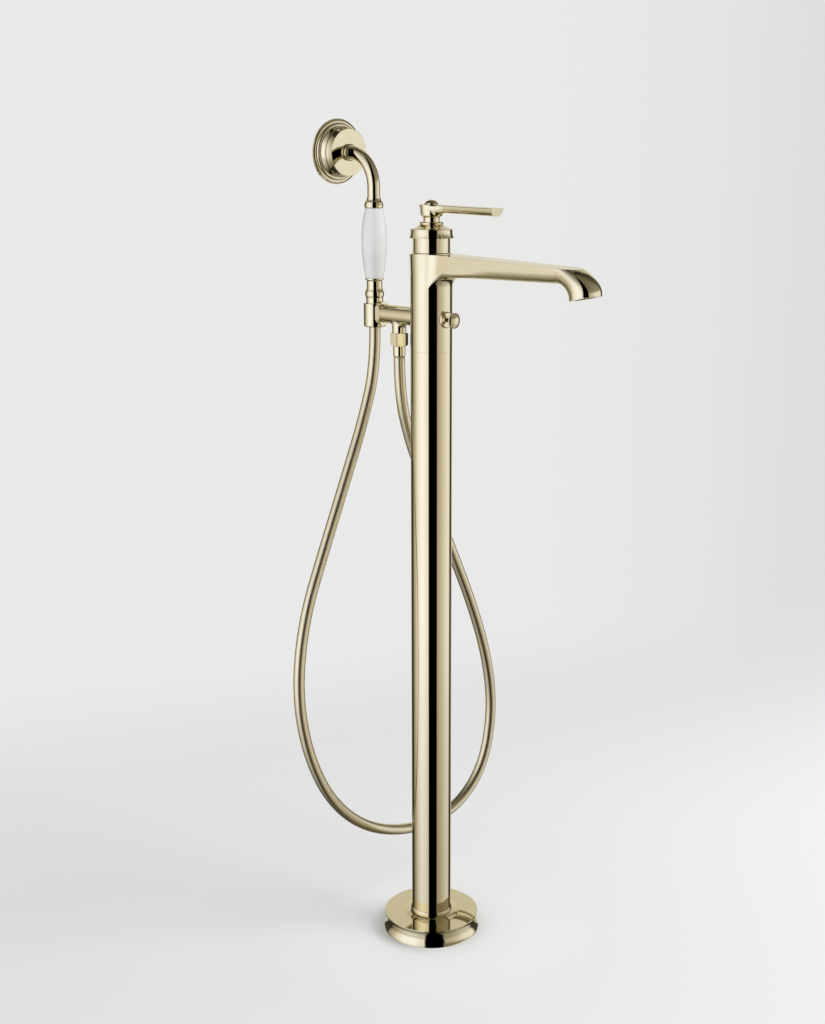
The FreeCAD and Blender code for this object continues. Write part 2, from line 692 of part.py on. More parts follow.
def neck_and_cartridge():
    node(turned("neck_sleeve", [
        ("well_dia / 2 + well_wall + fit_gap", BODY_TOP),
        ("neck_foot_dia / 2", BODY_TOP),
        ("neck_foot_dia / 2", BODY_TOP + " + 0.6"),
        ("neck_dia / 2", BODY_TOP + " + neck_foot_height", "neck_foot_height * 1.05", -1),
        ("neck_dia / 2", NECK_TOP),
        ("well_dia / 2 + well_wall + fit_gap", NECK_TOP),
    ]))
    well = "(well_dia / 2 - thread_gap)"
    base_top = WELL_FLOOR + " + 4.5"
    base = ring("cartridge_base_blank", "0", well, WELL_FLOOR + " + 0.5", base_top)
    ports = [cylinder(f"base_port_{i}", "2.6", "6", (across, along, WELL_FLOOR))
             for i, (across, along) in enumerate((("0", "9.5"), ("0", "-9.5"), ("8", "0")))]
    node(cut("cartridge_base", base, ports))
    seals = [ring(f"base_seal_{i}", "3", "4.2", WELL_FLOOR, WELL_FLOOR + " + 0.5", (across, along, "0"))
             for i, (across, along) in enumerate((("0", "9.5"), ("0", "-9.5"), ("8", "0")))]
    node(group("base_seals", seals))
    disc_top = base_top + " + disc_thickness"
    fixed = ring("fixed_disc_blank", "0", "14.6", base_top, disc_top)
    fixed_ports = [cylinder(f"disc_port_{i}", "2.4", "6", (across, along, base_top + " - 1"))
                   for i, (across, along) in enumerate((("0", "9"), ("0", "-9"), ("7.6", "0")))]
    node(cut("fixed_ceramic_disc", fixed, fixed_ports))
    moving_top = disc_top + " + disc_thickness"
    moving = ring("moving_disc_blank", "0", "disc_dia / 2", disc_top, moving_top, ("-disc_shift", "0", "0"))
    hollow = cylinder("moving_disc_hollow", "5.5", "disc_thickness / 2 + 1", ("2 - disc_shift", "0", disc_top + " - 1"))
    node(cut("moving_ceramic_disc", moving, [hollow]))
    driver_top = moving_top + " + 3.5"
    driver = ring("driver_blank", "0", "disc_dia / 2 - 1", moving_top, driver_top, ("-disc_shift", "0", "0"))
    node(cut("disc_driver", driver, [cylinder("driver_socket", "spindle_dia / 2 - 1.3", "6",
                                              ("0", "0", moving_top + " + 0.4"))]))
    housing_top = "(seam_height + body_height + well_neck_height - 6)"
    node(turned("cartridge_housing", [
        ("15.2", base_top), (well, base_top), (well, housing_top), ("12.2", housing_top),
        ("12.2", housing_top + " - 2"), ("15.2", housing_top + " - 2")]))
    nut_top = "(seam_height + body_height + well_neck_height - 0.4)"
    node(turned("cartridge_nut", [
        ("12.2", housing_top), (well, housing_top), (well, nut_top), ("12.2", nut_top)]))
    rotor_foot = driver_top + " + 0.3"
    rotor = turned("rotor_blank", [
        ("0", rotor_foot), ("rotor_dia / 2", rotor_foot), ("rotor_dia / 2", PIVOT + " + 2.6"), ("0", PIVOT + " + 2.6")])
    slot = block("rotor_slot", ("26", "10", "30"), ("-13", "-5", rotor_foot + " - 1"))
    pin_hole = cylinder("pin_hole", "1.5 + thread_gap", "40", ("0", "-20", PIVOT), Rotation(Vector(1, 0, 0), -90))
    node(cut("cartridge_rotor", rotor, [slot, pin_hole]))
    node(cylinder("rotor_pin", "1.5", "27", ("0", "-13.5", PIVOT), Rotation(Vector(1, 0, 0), -90)))
    spindle_top = STEM_TOP + " - 2"
    spindle = turned("spindle_blank", [
        ("0", moving_top + " + 0.6"), ("spindle_dia / 2 - 2.2", moving_top + " + 0.6"),
        ("spindle_dia / 2 - 2.2", driver_top + " + 1.2"), ("spindle_dia / 2", driver_top + " + 2.4"),
        ("spindle_dia / 2", spindle_top), ("0", spindle_top)])
    spindle_hole = cylinder("spindle_hole", "1.5 + thread_gap", "20", ("0", "-10", PIVOT), Rotation(Vector(1, 0, 0), -90))
    screw_thread = cylinder("spindle_thread", "2.5", "12", ("0", "0", spindle_top + " - 11"))
    node(cut("cartridge_spindle", spindle, [spindle_hole, screw_thread]))


def dome(radius, height):
    """Radius of a dome that meets its axis square on."""
    return f"(({radius}) ^ 2 + ({height}) ^ 2) / (2 * ({height}))"


def lever():
    shoulder = "(cap_shoulder_dia / 2)"
    inner = "(cap_skirt_dia / 2 - cap_wall)"
    ceiling = CAP_SHOULDER + " - cap_wall"
    bore = "(spindle_dia / 2 + fit_gap)"
    node(turned("lever_cap", [
        (inner, CAP_BOTTOM),
        ("cap_skirt_dia / 2", CAP_BOTTOM),
        (shoulder, CAP_SHOULDER + " - 0.8", "cap_skirt_height * 2.2", -1),
        (shoulder + " - 0.8", CAP_SHOULDER, "0.8", 1),
        ("bead_dia / 2 - 0.6", CAP_TOP, "cap_shoulder_dia * 0.5", -1),
        (bore, CAP_TOP),
        (bore, CAP_BOTTOM + " + 4.8"),
        ("9", CAP_BOTTOM + " + 4.8"),
        ("9", ceiling),
        (shoulder + " - cap_wall", ceiling),
    ]))
    node(turned("lever_stem", [
        (bore, CAP_TOP),
        ("bead_dia / 2 - 1.2", CAP_TOP),
        ("bead_dia / 2 - 2.4", CAP_TOP + " + bead_height", "bead_height * 0.56", 1),
        ("stem_dia / 2", CAP_TOP + " + bead_height"),
        ("stem_dia / 2", STEM_TOP),
        (bore, STEM_TOP),
    ]))
    hub = turned("lever_hub", [
        ("2.6", STEM_TOP),
        ("stem_dia / 2 + 0.3", STEM_TOP),
        ("hub_lip_dia / 2", STEM_TOP + " + hub_lip_height", "hub_lip_height * 1.3", -1),
        ("hub_top_dia / 2", HUB_TOP + " - 0.6"),
        ("hub_top_dia / 2 - 0.6", HUB_TOP, "0.6", 1),
        ("finial_dia / 2 + 0.4", HUB_TOP + " + 0.6"),
        ("2.6", HUB_TOP + " + 0.6"),
    ])
    top = value(HUB_TOP)
    droop = math.tan(math.radians(value("lever_droop")))
    sections = []
    root, reach = value("hub_top_dia / 2"), value("lever_reach")
    for share, swell, sink in ((-0.09, 2.0, 0.0), (0.0, 1.45, 4.0), (0.035, 1.2, 1.4), (0.09, 1.05, 0.2), (0.2, 1.0, 0),
                               (0.45, 1, 0), (0.7, 1, 0), (0.9, 1, 0), (1.0, 1, 0)):
        x = root + (reach - root) * share
        along = max(share, 0)
        half = value("lever_root_width") / 2 * swell
        half += (value("lever_tip_width") / 2 - half) * along**1.3
        depth = value("lever_root_depth") + (value("lever_tip_depth") - value("lever_root_depth")) * along + sink
        crown = depth * 0.12
        centre = Vector(x, 0, top - crown - max(x - root, 0) * droop)
        lean = 0.3 if share == 1.0 else 0.0
        outward = Vector(lean, 0, 1)
        sections.append(outline_wire(half, crown, depth - crown, centre, outward))
    arm = solid_feature("lever_arm", lofted(sections))
    blank = fuse("lever_blank", [hub, arm])
    bore_tool = cylinder("lever_screw_bore", "2.6", "30", ("0", "0", STEM_TOP + " - 1"))
    node(cut("lever_handle", blank, [bore_tool]))
    node(turned("lever_finial", [
        ("0", STEM_TOP + " - 8"),
        ("2.4", STEM_TOP + " - 8"),
        ("2.4", HUB_TOP + " + 0.6"),
        ("finial_dia / 2", HUB_TOP + " + 0.6"),
        ("finial_dia / 2", HUB_TOP + " + 1"),
        ("0", HUB_TOP + " + finial_height", dome("finial_dia / 2", "finial_height - 1"), 1),
    ]))


def diverter():
    seat = "(column_dia / 2 - 1)"
    at = ("0", "0", ARM_HEIGHT)
    rod = "(diverter_rod_dia / 2)"
    front = "(column_dia / 2 - 1 + rosette_thickness)"
    node(turned("diverter_rosette", [
        (rod + " + thread_gap", seat + " - 12"),
        ("valve_bore_dia / 2 - thread_gap", seat + " - 12"),
        ("valve_bore_dia / 2 - thread_gap", seat),
        ("rosette_dia / 2", seat),
        ("rosette_dia / 2", seat + " + 1.2"),
        ("rosette_dia / 2 - 1.6", front, "1.9", 1),
        (rod + " + thread_gap", front),
    ], at, OUT_FRONT))
    back = "(column_dia / 2 - 1 + rosette_thickness + knob_gap)"
    tip = "(column_dia / 2 - 1 + rosette_thickness + knob_gap + knob_length)"
    node(turned("diverter_spindle", [
        ("0", "-8 + 2"), ("4.2", "-8 + 2"), ("4.2", "-4.5"), (rod, "-4.5"),
        (rod, back + " + 6"), ("0", back + " + 6")], at, OUT_FRONT))
    node(ring("diverter_seal", rod, "valve_bore_dia / 2 - thread_gap", "-4.5", "-2.5", at, OUT_FRONT))
    node(turned("diverter_knob", [
        (rod, back),
        ("3.2", back),
        ("knob_dia / 2 - 0.7", back + " + knob_length * 0.62", "knob_length * 3", -1),
        ("knob_dia / 2 - 0.6", tip + " - knob_length * 0.26", "1.2", 1),
        ("0", tip, dome("knob_dia / 2 - 0.6", "knob_length * 0.26"), 1),
        ("0", back + " + 6"),
        (rod, back + " + 6"),
    ], at, OUT_FRONT))


def shower_arm():
    """Arm cast in one with the outlet stub, closed at the end that carries the holder."""
    tube = turned("arm_tube", [
        ("0", "column_dia / 2 - 6"),
        ("arm_dia / 2", "column_dia / 2 - 6"),
        ("arm_dia / 2", "arm_end - arm_edge_round"),
        ("arm_dia / 2 - arm_edge_round", "arm_end", "arm_edge_round", 1),
        ("0", "arm_end"),
    ], ("0", "0", ARM_HEIGHT), OUT_BACK)
    stub = cylinder("arm_stub", "outlet_neck_dia / 2", ARM_HEIGHT + " - " + NUT_TOP,
                    ("-outlet_offset", "0", NUT_TOP))
    joined = fuse("arm_blank", [tube, stub])
    doc.recompute()
    rounded = doc.addObject("Part::Fillet", "arm_rounded")
    rounded.Base = joined
    reach, height = value("outlet_offset"), value(ARM_HEIGHT)
    stub_radius = value("outlet_neck_dia / 2")
    edges = []
    for number, edge in enumerate(joined.Shape.Edges, start=1):
        box = edge.BoundBox
        on_stub = abs((box.XMin + box.XMax) / 2 + reach) < stub_radius and box.XLength < 2 * stub_radius + 0.5
        if on_stub and value(NUT_TOP) + 1 < box.ZMin and box.ZMax < height and edge.Closed:
            edges.append((number, value("outlet_round"), value("outlet_round")))
    rounded.Edges = edges
    thread = cylinder("arm_thread", "outlet_thread_dia / 2", "outlet_thread_length + 1",
                      ("-outlet_offset", "0", NUT_TOP + " - outlet_thread_length"))
    spigot = cylinder("arm_spigot", "arm_spigot_dia / 2", "14", ("-column_dia / 2 + 12 - 1", "0", ARM_HEIGHT), OUT_BACK)
    column_cut = cylinder("arm_saddle", "column_dia / 2 + thread_gap", "60", ("0", "0", ARM_HEIGHT + " - 30"))
    saddled = cut("arm_saddled", rounded, [column_cut])
    whole = fuse("arm_whole", [saddled, thread, spigot])
    node(cut("shower_arm", whole, [
        cylinder("arm_water", "water_dia / 2", "outlet_offset - column_dia / 2 + 12 + water_dia / 2",
                 ("-column_dia / 2 + 12", "0", ARM_HEIGHT), OUT_BACK),
        cylinder("outlet_water", "water_dia / 2", ARM_HEIGHT + " - " + NUT_TOP + " + outlet_thread_length + 1",
                 ("-outlet_offset", "0", NUT_TOP + " - outlet_thread_length - 1")),
        cylinder("holder_thread", "2.5 + thread_gap", "13", ("-arm_end - 1 + 13", "0", ARM_HEIGHT), OUT_BACK),
    ]))


def outlet_parts():
    at = ("-outlet_offset", "0", "0")
    hexagon = doc.addObject("Part::Prism", "nut_hexagon")
    hexagon.Polygon = 6
    hexagon.setExpression("Circumradius", bind("nut_flats / 2 / cos(30)"))
    hexagon.setExpression("Height", bind("nut_height"))
    place(hexagon, ("-outlet_offset", "0", NUT_BOTTOM))
    barrel = turned("nut_barrel", [
        ("0", NUT_BOTTOM),
        ("nut_flats / 2 - 0.6", NUT_BOTTOM),
        ("nut_flats / 2 + 1.5", NUT_BOTTOM + " + 2.4", "2.9", 1),
        ("nut_flats / 2 + 1.5", NUT_TOP + " - 2.4"),
        ("nut_flats / 2 - 0.6", NUT_TOP, "2.9", 1),
        ("0", NUT_TOP),
    ], at)
    common = doc.addObject("Part::MultiCommon", "nut_common")
    common.Shapes = [hexagon, barrel]
    floor = NUT_BOTTOM + " + 2.2"
    node(cut("outlet_nut", common, [
        cylinder("nut_thread", "outlet_thread_dia / 2 + thread_gap", "nut_height", ("-outlet_offset", "0", floor)),
        cylinder("nut_bore", "6.4", "nut_height", ("-outlet_offset", "0", NUT_BOTTOM + " - 1"))]))
    flange_top = NUT_TOP + " - outlet_thread_length - 1.5"
    node(ring("outlet_washer", "water_dia / 2", "outlet_thread_dia / 2 - 0.1", flange_top,
              NUT_TOP + " - outlet_thread_length", at))
    node(turned("hose_ferrule", [
        ("liner_dia / 2 - liner_wall", NUT_BOTTOM + " - ferrule_length"),
        ("ferrule_dia / 2 - 0.4", NUT_BOTTOM + " - ferrule_length"),
        ("ferrule_dia / 2", NUT_BOTTOM + " - ferrule_length + 0.4"),
        ("ferrule_dia / 2", NUT_BOTTOM + " - 0.3"),
        ("6.2", NUT_BOTTOM + " - 0.3"),
        ("6.2", floor),
        ("outlet_thread_dia / 2 - 0.1", floor),
        ("outlet_thread_dia / 2 - 0.1", flange_top),
        ("liner_dia / 2 - liner_wall", flange_top),
    ], at))
    node(ring("check_valve", "2.4", "water_dia / 2 - thread_gap", NUT_TOP + " - outlet_thread_length + 1",
              NUT_TOP + " + 4", at))


# The hose's route, from under the outlet to the handset's cone
HOSE_ROUTE = (
    (-55.6, 0, 738), (-55.6, 0, 694), (-57.5, 18, 632), (-61, 55, 560), (-64, 98, 478), (-66, 144, 385),
    (-68.5, 176, 300), (-71, 188, 222), (-73, 172, 145), (-75, 122, 100), (-77, 45, 92), (-78.5, -38, 120),
    (-80.5, -98, 175), (-82.5, -134, 250), (-85, -147, 335), (-87.5, -132, 425), (-90.5, -93, 510),
    (-93.5, -55, 590), (-96.5, -22, 660), (-99, 0, 722), (-99, 0, 774))


def route_wire(start, end):
    """Straight runs joined by the largest tangent arcs that the runs allow; prints their radii.

    The route keeps its shape between its two ends: it is stretched to the outlet's height and to the arm's length.
    """
    first, last = Vector(*HOSE_ROUTE[0]), Vector(*HOSE_ROUTE[-1])
    points = []
    for spot in HOSE_ROUTE:
        share = (spot[0] - first.x) / (last.x - first.x)
        points.append(Vector(start.x + (end.x - start.x) * share, spot[1], spot[2] * start.z / first.z))
    points[0], points[-1] = start, end
    points[-2] = Vector(end.x, 0, end.z - (last.z - HOSE_ROUTE[-2][2]) * start.z / first.z)
    edges, radii, length = [], [], 0.0
    here = points[0]
    for before, corner, after in zip(points, points[1:], points[2:]):
        into, out = corner - before, after - corner
        turn = into.getAngle(out)
        reach = 0.45 * min(into.Length, out.Length)
        radius = reach / math.tan(turn / 2)
        radii.append(radius)
        into.normalize()
        out.normalize()
        arc_start, arc_end = corner - into * reach, corner + out * reach
        centre_way = (out - into).normalize()
        middle = corner + centre_way * (radius / math.cos(turn / 2) - radius)
        edges.append(Part.LineSegment(here, arc_start).toShape())
        edges.append(Part.Arc(arc_start, middle, arc_end).toShape())
        here = arc_end
    edges.append(Part.LineSegment(here, points[-1]).toShape())
    wire = Part.Wire(edges)
    print("hose length %.1f, radii from %.0f to %.0f" % (wire.Length, min(radii), max(radii)))
    return wire


def swept_ring(wire, outer, inner):
    """A hollow tube along a wire that starts straight down."""
    solids = []
    for radius in (outer, inner):
        start = wire.Edges[0].valueAt(wire.Edges[0].FirstParameter)
        heading = wire.Edges[0].tangentAt(wire.Edges[0].FirstParameter)
        ring_wire = Part.Wire([Part.makeCircle(radius, start, heading)])
        solids.append(wire.makePipeShell([ring_wire], True, False))
    tube = solids[0].cut(solids[1])
    print("tube volume %.0f of %.0f" % (tube.Volume, math.pi * (outer**2 - inner**2) * wire.Length))
    return tube


def hose():
    start = Vector(-value("outlet_offset"), 0, value(NUT_BOTTOM + " - ferrule_length"))
    end = Vector(-value("holder_reach"), 0, value(CONE_TIP))
    wire = route_wire(start, end)
    outer = value("hose_dia / 2")
    node(solid_feature("hose_sheath", swept_ring(wire, outer, outer - value("hose_wall"))))
    liner = value("liner_dia / 2")
    node(solid_feature("hose_liner", swept_ring(wire, liner, liner - value("liner_wall"))))


def holder():
    at = ("-holder_reach", "0", "0")
    foot = "(seam_height + holder_rise - holder_height)"
    sleeve = turned("holder_blank", [
        ("0", foot),
        ("holder_dia / 2 - holder_edge_round", foot),
        ("holder_dia / 2", foot + " + holder_edge_round", "holder_edge_round", 1),
        ("holder_dia / 2", HOLDER_TOP + " - 0.5"),
        ("holder_dia / 2 - 0.5", HOLDER_TOP),
        ("0", HOLDER_TOP),
    ], at)
    boss_reach = "(holder_reach - arm_end)"
    boss = block("holder_boss_blank", (boss_reach, "boss_width", "boss_height"),
                 ("-holder_reach", "-boss_width / 2", ARM_HEIGHT + " - boss_height / 2"))
    doc.recompute()
    rounded = doc.addObject("Part::Fillet", "holder_boss")
    rounded.Base = boss
    radius = value("boss_width / 2") - 0.5
    end = -value("arm_end")
    edges = []
    for number, edge in enumerate(boss.Shape.Edges, start=1):
        box = edge.BoundBox
        if box.XLength > 1:
            edges.append((number, radius, radius))
    rounded.Edges = edges
    blank = fuse("holder_whole", [sleeve, rounded])
    cone = turned("holder_bore", [
        ("0", foot + " - 1"),
        ("hose_dia / 2 + 1.2", foot + " - 1"),
        ("hose_dia / 2 + 1.2", CONE_TIP + " - 0.3"),
        ("cone_tip_dia / 2 + slide_gap", CONE_TIP + " - 0.3"),
        ("cone_top_dia / 2 + slide_gap", GROOVE + " - cone_parallel"),
        ("cone_top_dia / 2 + slide_gap", HOLDER_TOP + " + 10"),
        ("0", HOLDER_TOP + " + 10"),
    ], at)
    slot = block("holder_slot_tool", ("holder_dia", "holder_slot", "holder_height + 10"),
                 ("-holder_reach - holder_dia", "-holder_slot / 2", foot + " - 5"))
    screw_hole = cylinder("holder_screw_hole", "2.5 + thread_gap", "20", ("-holder_reach + 8", "0", ARM_HEIGHT),
                          OUT_FRONT)
    node(cut("handset_holder", blank, [cone, slot, screw_hole,
                                      cylinder("holder_head_seat", "4.3", "6.2", ("-holder_reach + 8", "0", ARM_HEIGHT),
                                               OUT_FRONT)]))
    head = "(8 + 3.2)"
    node(turned("holder_screw", [
        ("0", head), ("4.1", head), ("4.1", head + " + 3"), ("2.5", head + " + 3"), ("2.5", head + " + 14"),
        ("0", head + " + 14")], ("-holder_reach", "0", ARM_HEIGHT), OUT_FRONT))


def handset_stem():
    at = ("-holder_reach", "0", "0")
    thread = "(tail_thread_dia / 2)"
    bore = "(handset_bore_dia / 2)"
    node(turned("hose_cone", [
        ("liner_dia / 2 - liner_wall", CONE_TIP),
        ("cone_tip_dia / 2", CONE_TIP),
        ("cone_top_dia / 2", GROOVE + " - cone_parallel"),
        ("cone_top_dia / 2", GROOVE),
        (thread + " + thread_gap", GROOVE),
        (thread + " + thread_gap", CONE_TIP + " + 5"),
        ("liner_dia / 2 - liner_wall", CONE_TIP + " + 5"),
    ], at))
    tail_top = "(seam_height + groove_rise - tail_thread_length - 1.8)"
    node(turned("hose_tail", [
        ("2.8", CONE_TIP + " + 5"), (thread, CONE_TIP + " + 5"), (thread, tail_top), ("2.8", tail_top)], at))
    node(ring("cone_washer", bore, thread, tail_top, GROOVE + " - tail_thread_length", at))
    node(turned("handset_ferrule", [
        (bore, GROOVE + " - tail_thread_length"),
        (thread, GROOVE + " - tail_thread_length"),
        (thread, GROOVE),
        ("10.6", GROOVE),
        ("10.9", GROOVE + " + 0.6"),
        ("10.9", GROOVE + " + 8.2", "9", 1),
        ("9.6", GROOVE + " + 13.5", "9", -1),
        ("9.7", FERRULE_TOP + " - 3", "60", -1),
        ("11.3", FERRULE_TOP + " - 1.6"),
        ("11.3", FERRULE_TOP),
        ("handle_tube_dia / 2 + thread_gap", FERRULE_TOP),
        ("handle_tube_dia / 2 + thread_gap", FERRULE_TOP + " - 14"),
        (bore, FERRULE_TOP + " - 14"),
    ], at))
    node(ring("handle_tube", bore, "handle_tube_dia / 2", FERRULE_TOP + " - 14", PORCELAIN_TOP + " + tube_socket", at))
    hole = "(handle_tube_dia / 2 + 0.5)"
    washers = [ring("lower_handle_washer", hole, "porcelain_foot_dia / 2 - 0.5", FERRULE_TOP, PORCELAIN_FOOT, at),
               ring("upper_handle_washer", hole, "porcelain_head_dia / 2 - 0.5", PORCELAIN_TOP + " - washer_thickness",
                    PORCELAIN_TOP, at)]
    node(group("handle_washers", washers))
    belly = PORCELAIN_FOOT + " + belly_height"
    rise = "(porcelain_belly_dia / 2 - {0} / 2)"
    low, high = rise.format("porcelain_foot_dia"), rise.format("porcelain_head_dia")
    top = PORCELAIN_TOP + " - washer_thickness"
    node(turned("porcelain_handle", [
        (hole, PORCELAIN_FOOT),
        ("porcelain_foot_dia / 2 - 0.4", PORCELAIN_FOOT),
        ("porcelain_foot_dia / 2", PORCELAIN_FOOT + " + 0.6"),
        ("porcelain_belly_dia / 2", belly, f"(belly_height ^ 2 + {low} ^ 2) / (2 * {low})", 1),
        ("porcelain_head_dia / 2", top + " - 0.6",
         f"((porcelain_length - belly_height) ^ 2 + {high} ^ 2) / (2 * {high})", 1),
        ("porcelain_head_dia / 2 - 0.4", top),
        (hole, top),
    ], at))
    node(turned("bell_collar", [
        ("handle_tube_dia / 2 + thread_gap", PORCELAIN_TOP),
        ("bell_dia / 2 - 0.6", PORCELAIN_TOP),
        ("bell_dia / 2 - 0.4", PORCELAIN_TOP + " + 0.4 * bell_height", "bell_height * 0.5", 1),
        ("bell_dia / 2 - 1.6", PORCELAIN_TOP + " + 0.62 * bell_height", "bell_height * 0.3", 1),
        ("gooseneck_dia / 2 + 0.6", BELL_TOP + " - 0.4", "bell_height * 0.5", -1),
        ("gooseneck_dia / 2 + 0.6", BELL_TOP),
        ("gooseneck_dia / 2 + thread_gap", BELL_TOP),
        ("gooseneck_dia / 2 + thread_gap", PORCELAIN_TOP + " + tube_socket"),
        ("handle_tube_dia / 2 + thread_gap", PORCELAIN_TOP + " + tube_socket"),
    ], at))


def head_axis():
    """Middle of the head's back face, the way the head faces, and the turn onto it."""
    tilt = math.radians(value("head_tilt"))
    spot = Vector(-value("holder_reach") - value("head_offset"), 0, value(HEAD_HEIGHT))
    facing = Vector(-math.cos(tilt), 0, math.sin(tilt))
    return spot, facing, Rotation(Vector(0, 1, 0), -90 + value("head_tilt"))


def gooseneck():
    back, facing, _ = head_axis()
    axis = -value("holder_reach")
    slope = math.tan(math.asin(facing.z))
    corner = Vector(axis, 0, back.z - (axis - back.x) * slope)
    tilt = math.radians(value("head_tilt"))
    turn = math.pi / 2 - tilt
    reach = value("gooseneck_radius") * math.tan(turn / 2)
    low, high = corner - Vector(0, 0, reach), corner + facing * reach
    bisector = (Vector(0, 0, -1) + facing).normalize()
    middle = corner + bisector * (value("gooseneck_radius") * (1 / math.cos(turn / 2) - 1))
    foot = Vector(axis, 0, value(PORCELAIN_TOP + " + tube_socket"))
    inside = back + facing * value("head_wall")
    path = Part.Wire([Part.LineSegment(foot, low).toShape(), Part.Arc(low, middle, high).toShape(),
                      Part.LineSegment(high, inside).toShape()])
    outer, inner = value("gooseneck_dia / 2"), value("handset_bore_dia / 2")
    tubes = [path.makePipeShell([Part.Wire([Part.makeCircle(radius, foot, Vector(0, 0, 1))])], True, False)
             for radius in (outer, inner)]
    node(solid_feature("gooseneck", tubes[0].cut(tubes[1])))


def turned_on_head(label, corners):
    piece = turned(label, corners)
    spot, facing, turn = head_axis()
    piece.Placement = Placement(spot, turn)
    return piece


def head():
    wall = "head_wall"
    rim = "(head_dia / 2)"
    back = "(head_back_dia / 2)"
    depth = "head_depth"
    plate_edge = "(head_back_dia / 2 + 3.6)"
    bridge_back = depth + " - 10.6"
    neck = "(gooseneck_dia / 2 + thread_gap)"
    node(turned_on_head("head_shell", [
        (neck, "0"),
        (back + " - 0.6", "0"),
        (back, "0.6", "0.6", 1),
        (back, "0.1 * head_depth"),
        (back + " + 0.5", "0.4 * head_depth", "1.6 * head_depth", -1),
        (back + " + 1", "0.42 * head_depth"),
        (back + " + 2.6", "0.68 * head_depth", "0.5 * head_depth", -1),
        (back + " + 1.9", "0.69 * head_depth"),
        (back + " + 1.9", "0.73 * head_depth"),
        (back + " + 3", "0.73 * head_depth"),
        (back + " + 6.2", "0.86 * head_depth", "0.13 * head_depth", 1),
        (back + " + 2.6", "0.86 * head_depth"),
        (back + " + 2.6", "0.81 * head_depth"),
        (back + " - 0.2", "0.75 * head_depth"),
        (back + " - 0.2", bridge_back),
        (back + " - head_wall", bridge_back),
        (back + " - head_wall", wall),
        (neck, wall),
    ]))
    node(turned_on_head("face_ring", [
        (plate_edge + " + 0.2", "0.86 * head_depth + 0.1"),
        (rim + " - 4.4", "0.86 * head_depth + 0.1"),
        (rim + " - 1", "0.92 * head_depth", "0.2 * head_depth", 1),
        (rim, "0.94 * head_depth"),
        (rim, depth + " - 0.6"),
        (rim + " - 0.6", depth, "0.6", 1),
        (plate_edge + " + 0.2", depth),
    ]))
    node(turned_on_head("face_seal", [
        (plate_edge + " - 2.2", "0.81 * head_depth"), (plate_edge + " - 1.1", "0.81 * head_depth"),
        (plate_edge + " - 1.1", depth + " - 3.2"), (plate_edge + " - 2.2", depth + " - 3.2")]))
    plate = turned_on_head("spray_plate_blank", [
        ("0", depth + " - 3.2"), (plate_edge, depth + " - 3.2"), (plate_edge, depth + " - 1.5"),
        ("0", depth + " - 1.5")])
    holes = []
    thickness = value("head_depth")
    for ring_number, radius in enumerate((8.5, 13.2, 17.9, 22.6, 27.3), start=1):
        count = 7 * ring_number + 3
        for i in range(count):
            angle = 2 * math.pi * i / count
            holes.append(Part.makeCylinder(0.6, 5, Vector(radius * math.cos(angle), radius * math.sin(angle),
                                                          thickness - 5)))
    holes.append(Part.makeCylinder(2.0 + SIZES["thread_gap"], 6, Vector(0, 0, thickness - 5)))
    spot, facing, turn = head_axis()
    punched = doc.addObject("Part::Feature", "spray_holes")
    punched.Shape = Part.makeCompound(holes)
    punched.Placement = Placement(spot, turn)
    node(cut("spray_plate", plate, [punched]))
    node(turned_on_head("spray_plate_screw", [
        ("0", depth + " - 9"), ("2", depth + " - 9"), ("2", depth + " - 1.45"), ("4", depth + " - 1.45"),
        ("3.2", depth + " - 0.3", "1.4", 1), ("0", depth + " + 0.1", dome("3.2", "0.4"), 1)]))
    bridge = turned_on_head("bridge_blank", [
        ("2.05", bridge_back), ("5", bridge_back), ("5", depth + " - 3.3"), ("2.05", depth + " - 3.3")])
    bars = []
    for number, angle in enumerate((0, 120, 240)):
        bar = Part.makeBox(value(back + " - 0.4") - 4.6, 3, 2.4, Vector(4.6, -1.5, value(bridge_back)))
        bar.rotate(Vector(), Vector(0, 0, 1), angle)
        bars.append(bar)
    spider = doc.addObject("Part::Feature", "bridge_bars")
    spider.Shape = bars[0].multiFuse(bars[1:])
    spider.Placement = Placement(spot, turn)
    node(fuse("screw_bridge", [bridge, spider]))
    bead = "(collar_dia / 2)"
    node(turned_on_head("neck_collar", [
        ("gooseneck_dia / 2 + fit_gap", "-collar_length"),
        (bead + " - 1.7", "-collar_length"),
        (bead + " - 1.7", "0", "collar_length * 0.53", 1),
        ("gooseneck_dia / 2 + fit_gap", "0"),
    ]))


def check():
    """Stops on any failed object or bad piece before anything is written."""
    for thing in doc.Objects:
        for word in ("Invalid", "Error"):
            if word in thing.State:
                raise RuntimeError(f"{thing.Label} is {thing.State}")
    for piece in nodes:
        if piece.Shape.isNull() or not piece.Shape.isValid():
            raise RuntimeError(f"{piece.Label} has a bad shape")


def export():
    os.makedirs("parts", exist_ok=True)
    for piece in nodes:
        piece.Shape.exportStep(os.path.join("parts", piece.Label + ".step"))
        box = piece.Shape.BoundBox
        print(f"{piece.Label}: {len(piece.Shape.Solids)} solids, {piece.Shape.Volume / 1000:.2f} cm3, "
              f"z {box.ZMin:.1f} to {box.ZMax:.1f}")


fill_sheet()
floor_plate()
column()
grub_screws()
base_cover()
supply_hoses()
mixer_body()
aerator()
neck_and_cartridge()
lever()
diverter()
shower_arm()
outlet_parts()
hose()
holder()
handset_stem()
gooseneck()
head()
doc.recompute()
check()
export()
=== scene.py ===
# %% [markdown]
# # A freestanding bath mixer, dressed on its fixed frame
# The mixer is a brass casting on a tall tube, all of it with one pale gold finish, and a hand shower
# with a porcelain handle that hangs beside it. The solids come from the frame and stay where they are.
# This lesson adds what the eye sees: the finishes, the cast body, the hose and the studio.

# %% Load the frame
import json
import math

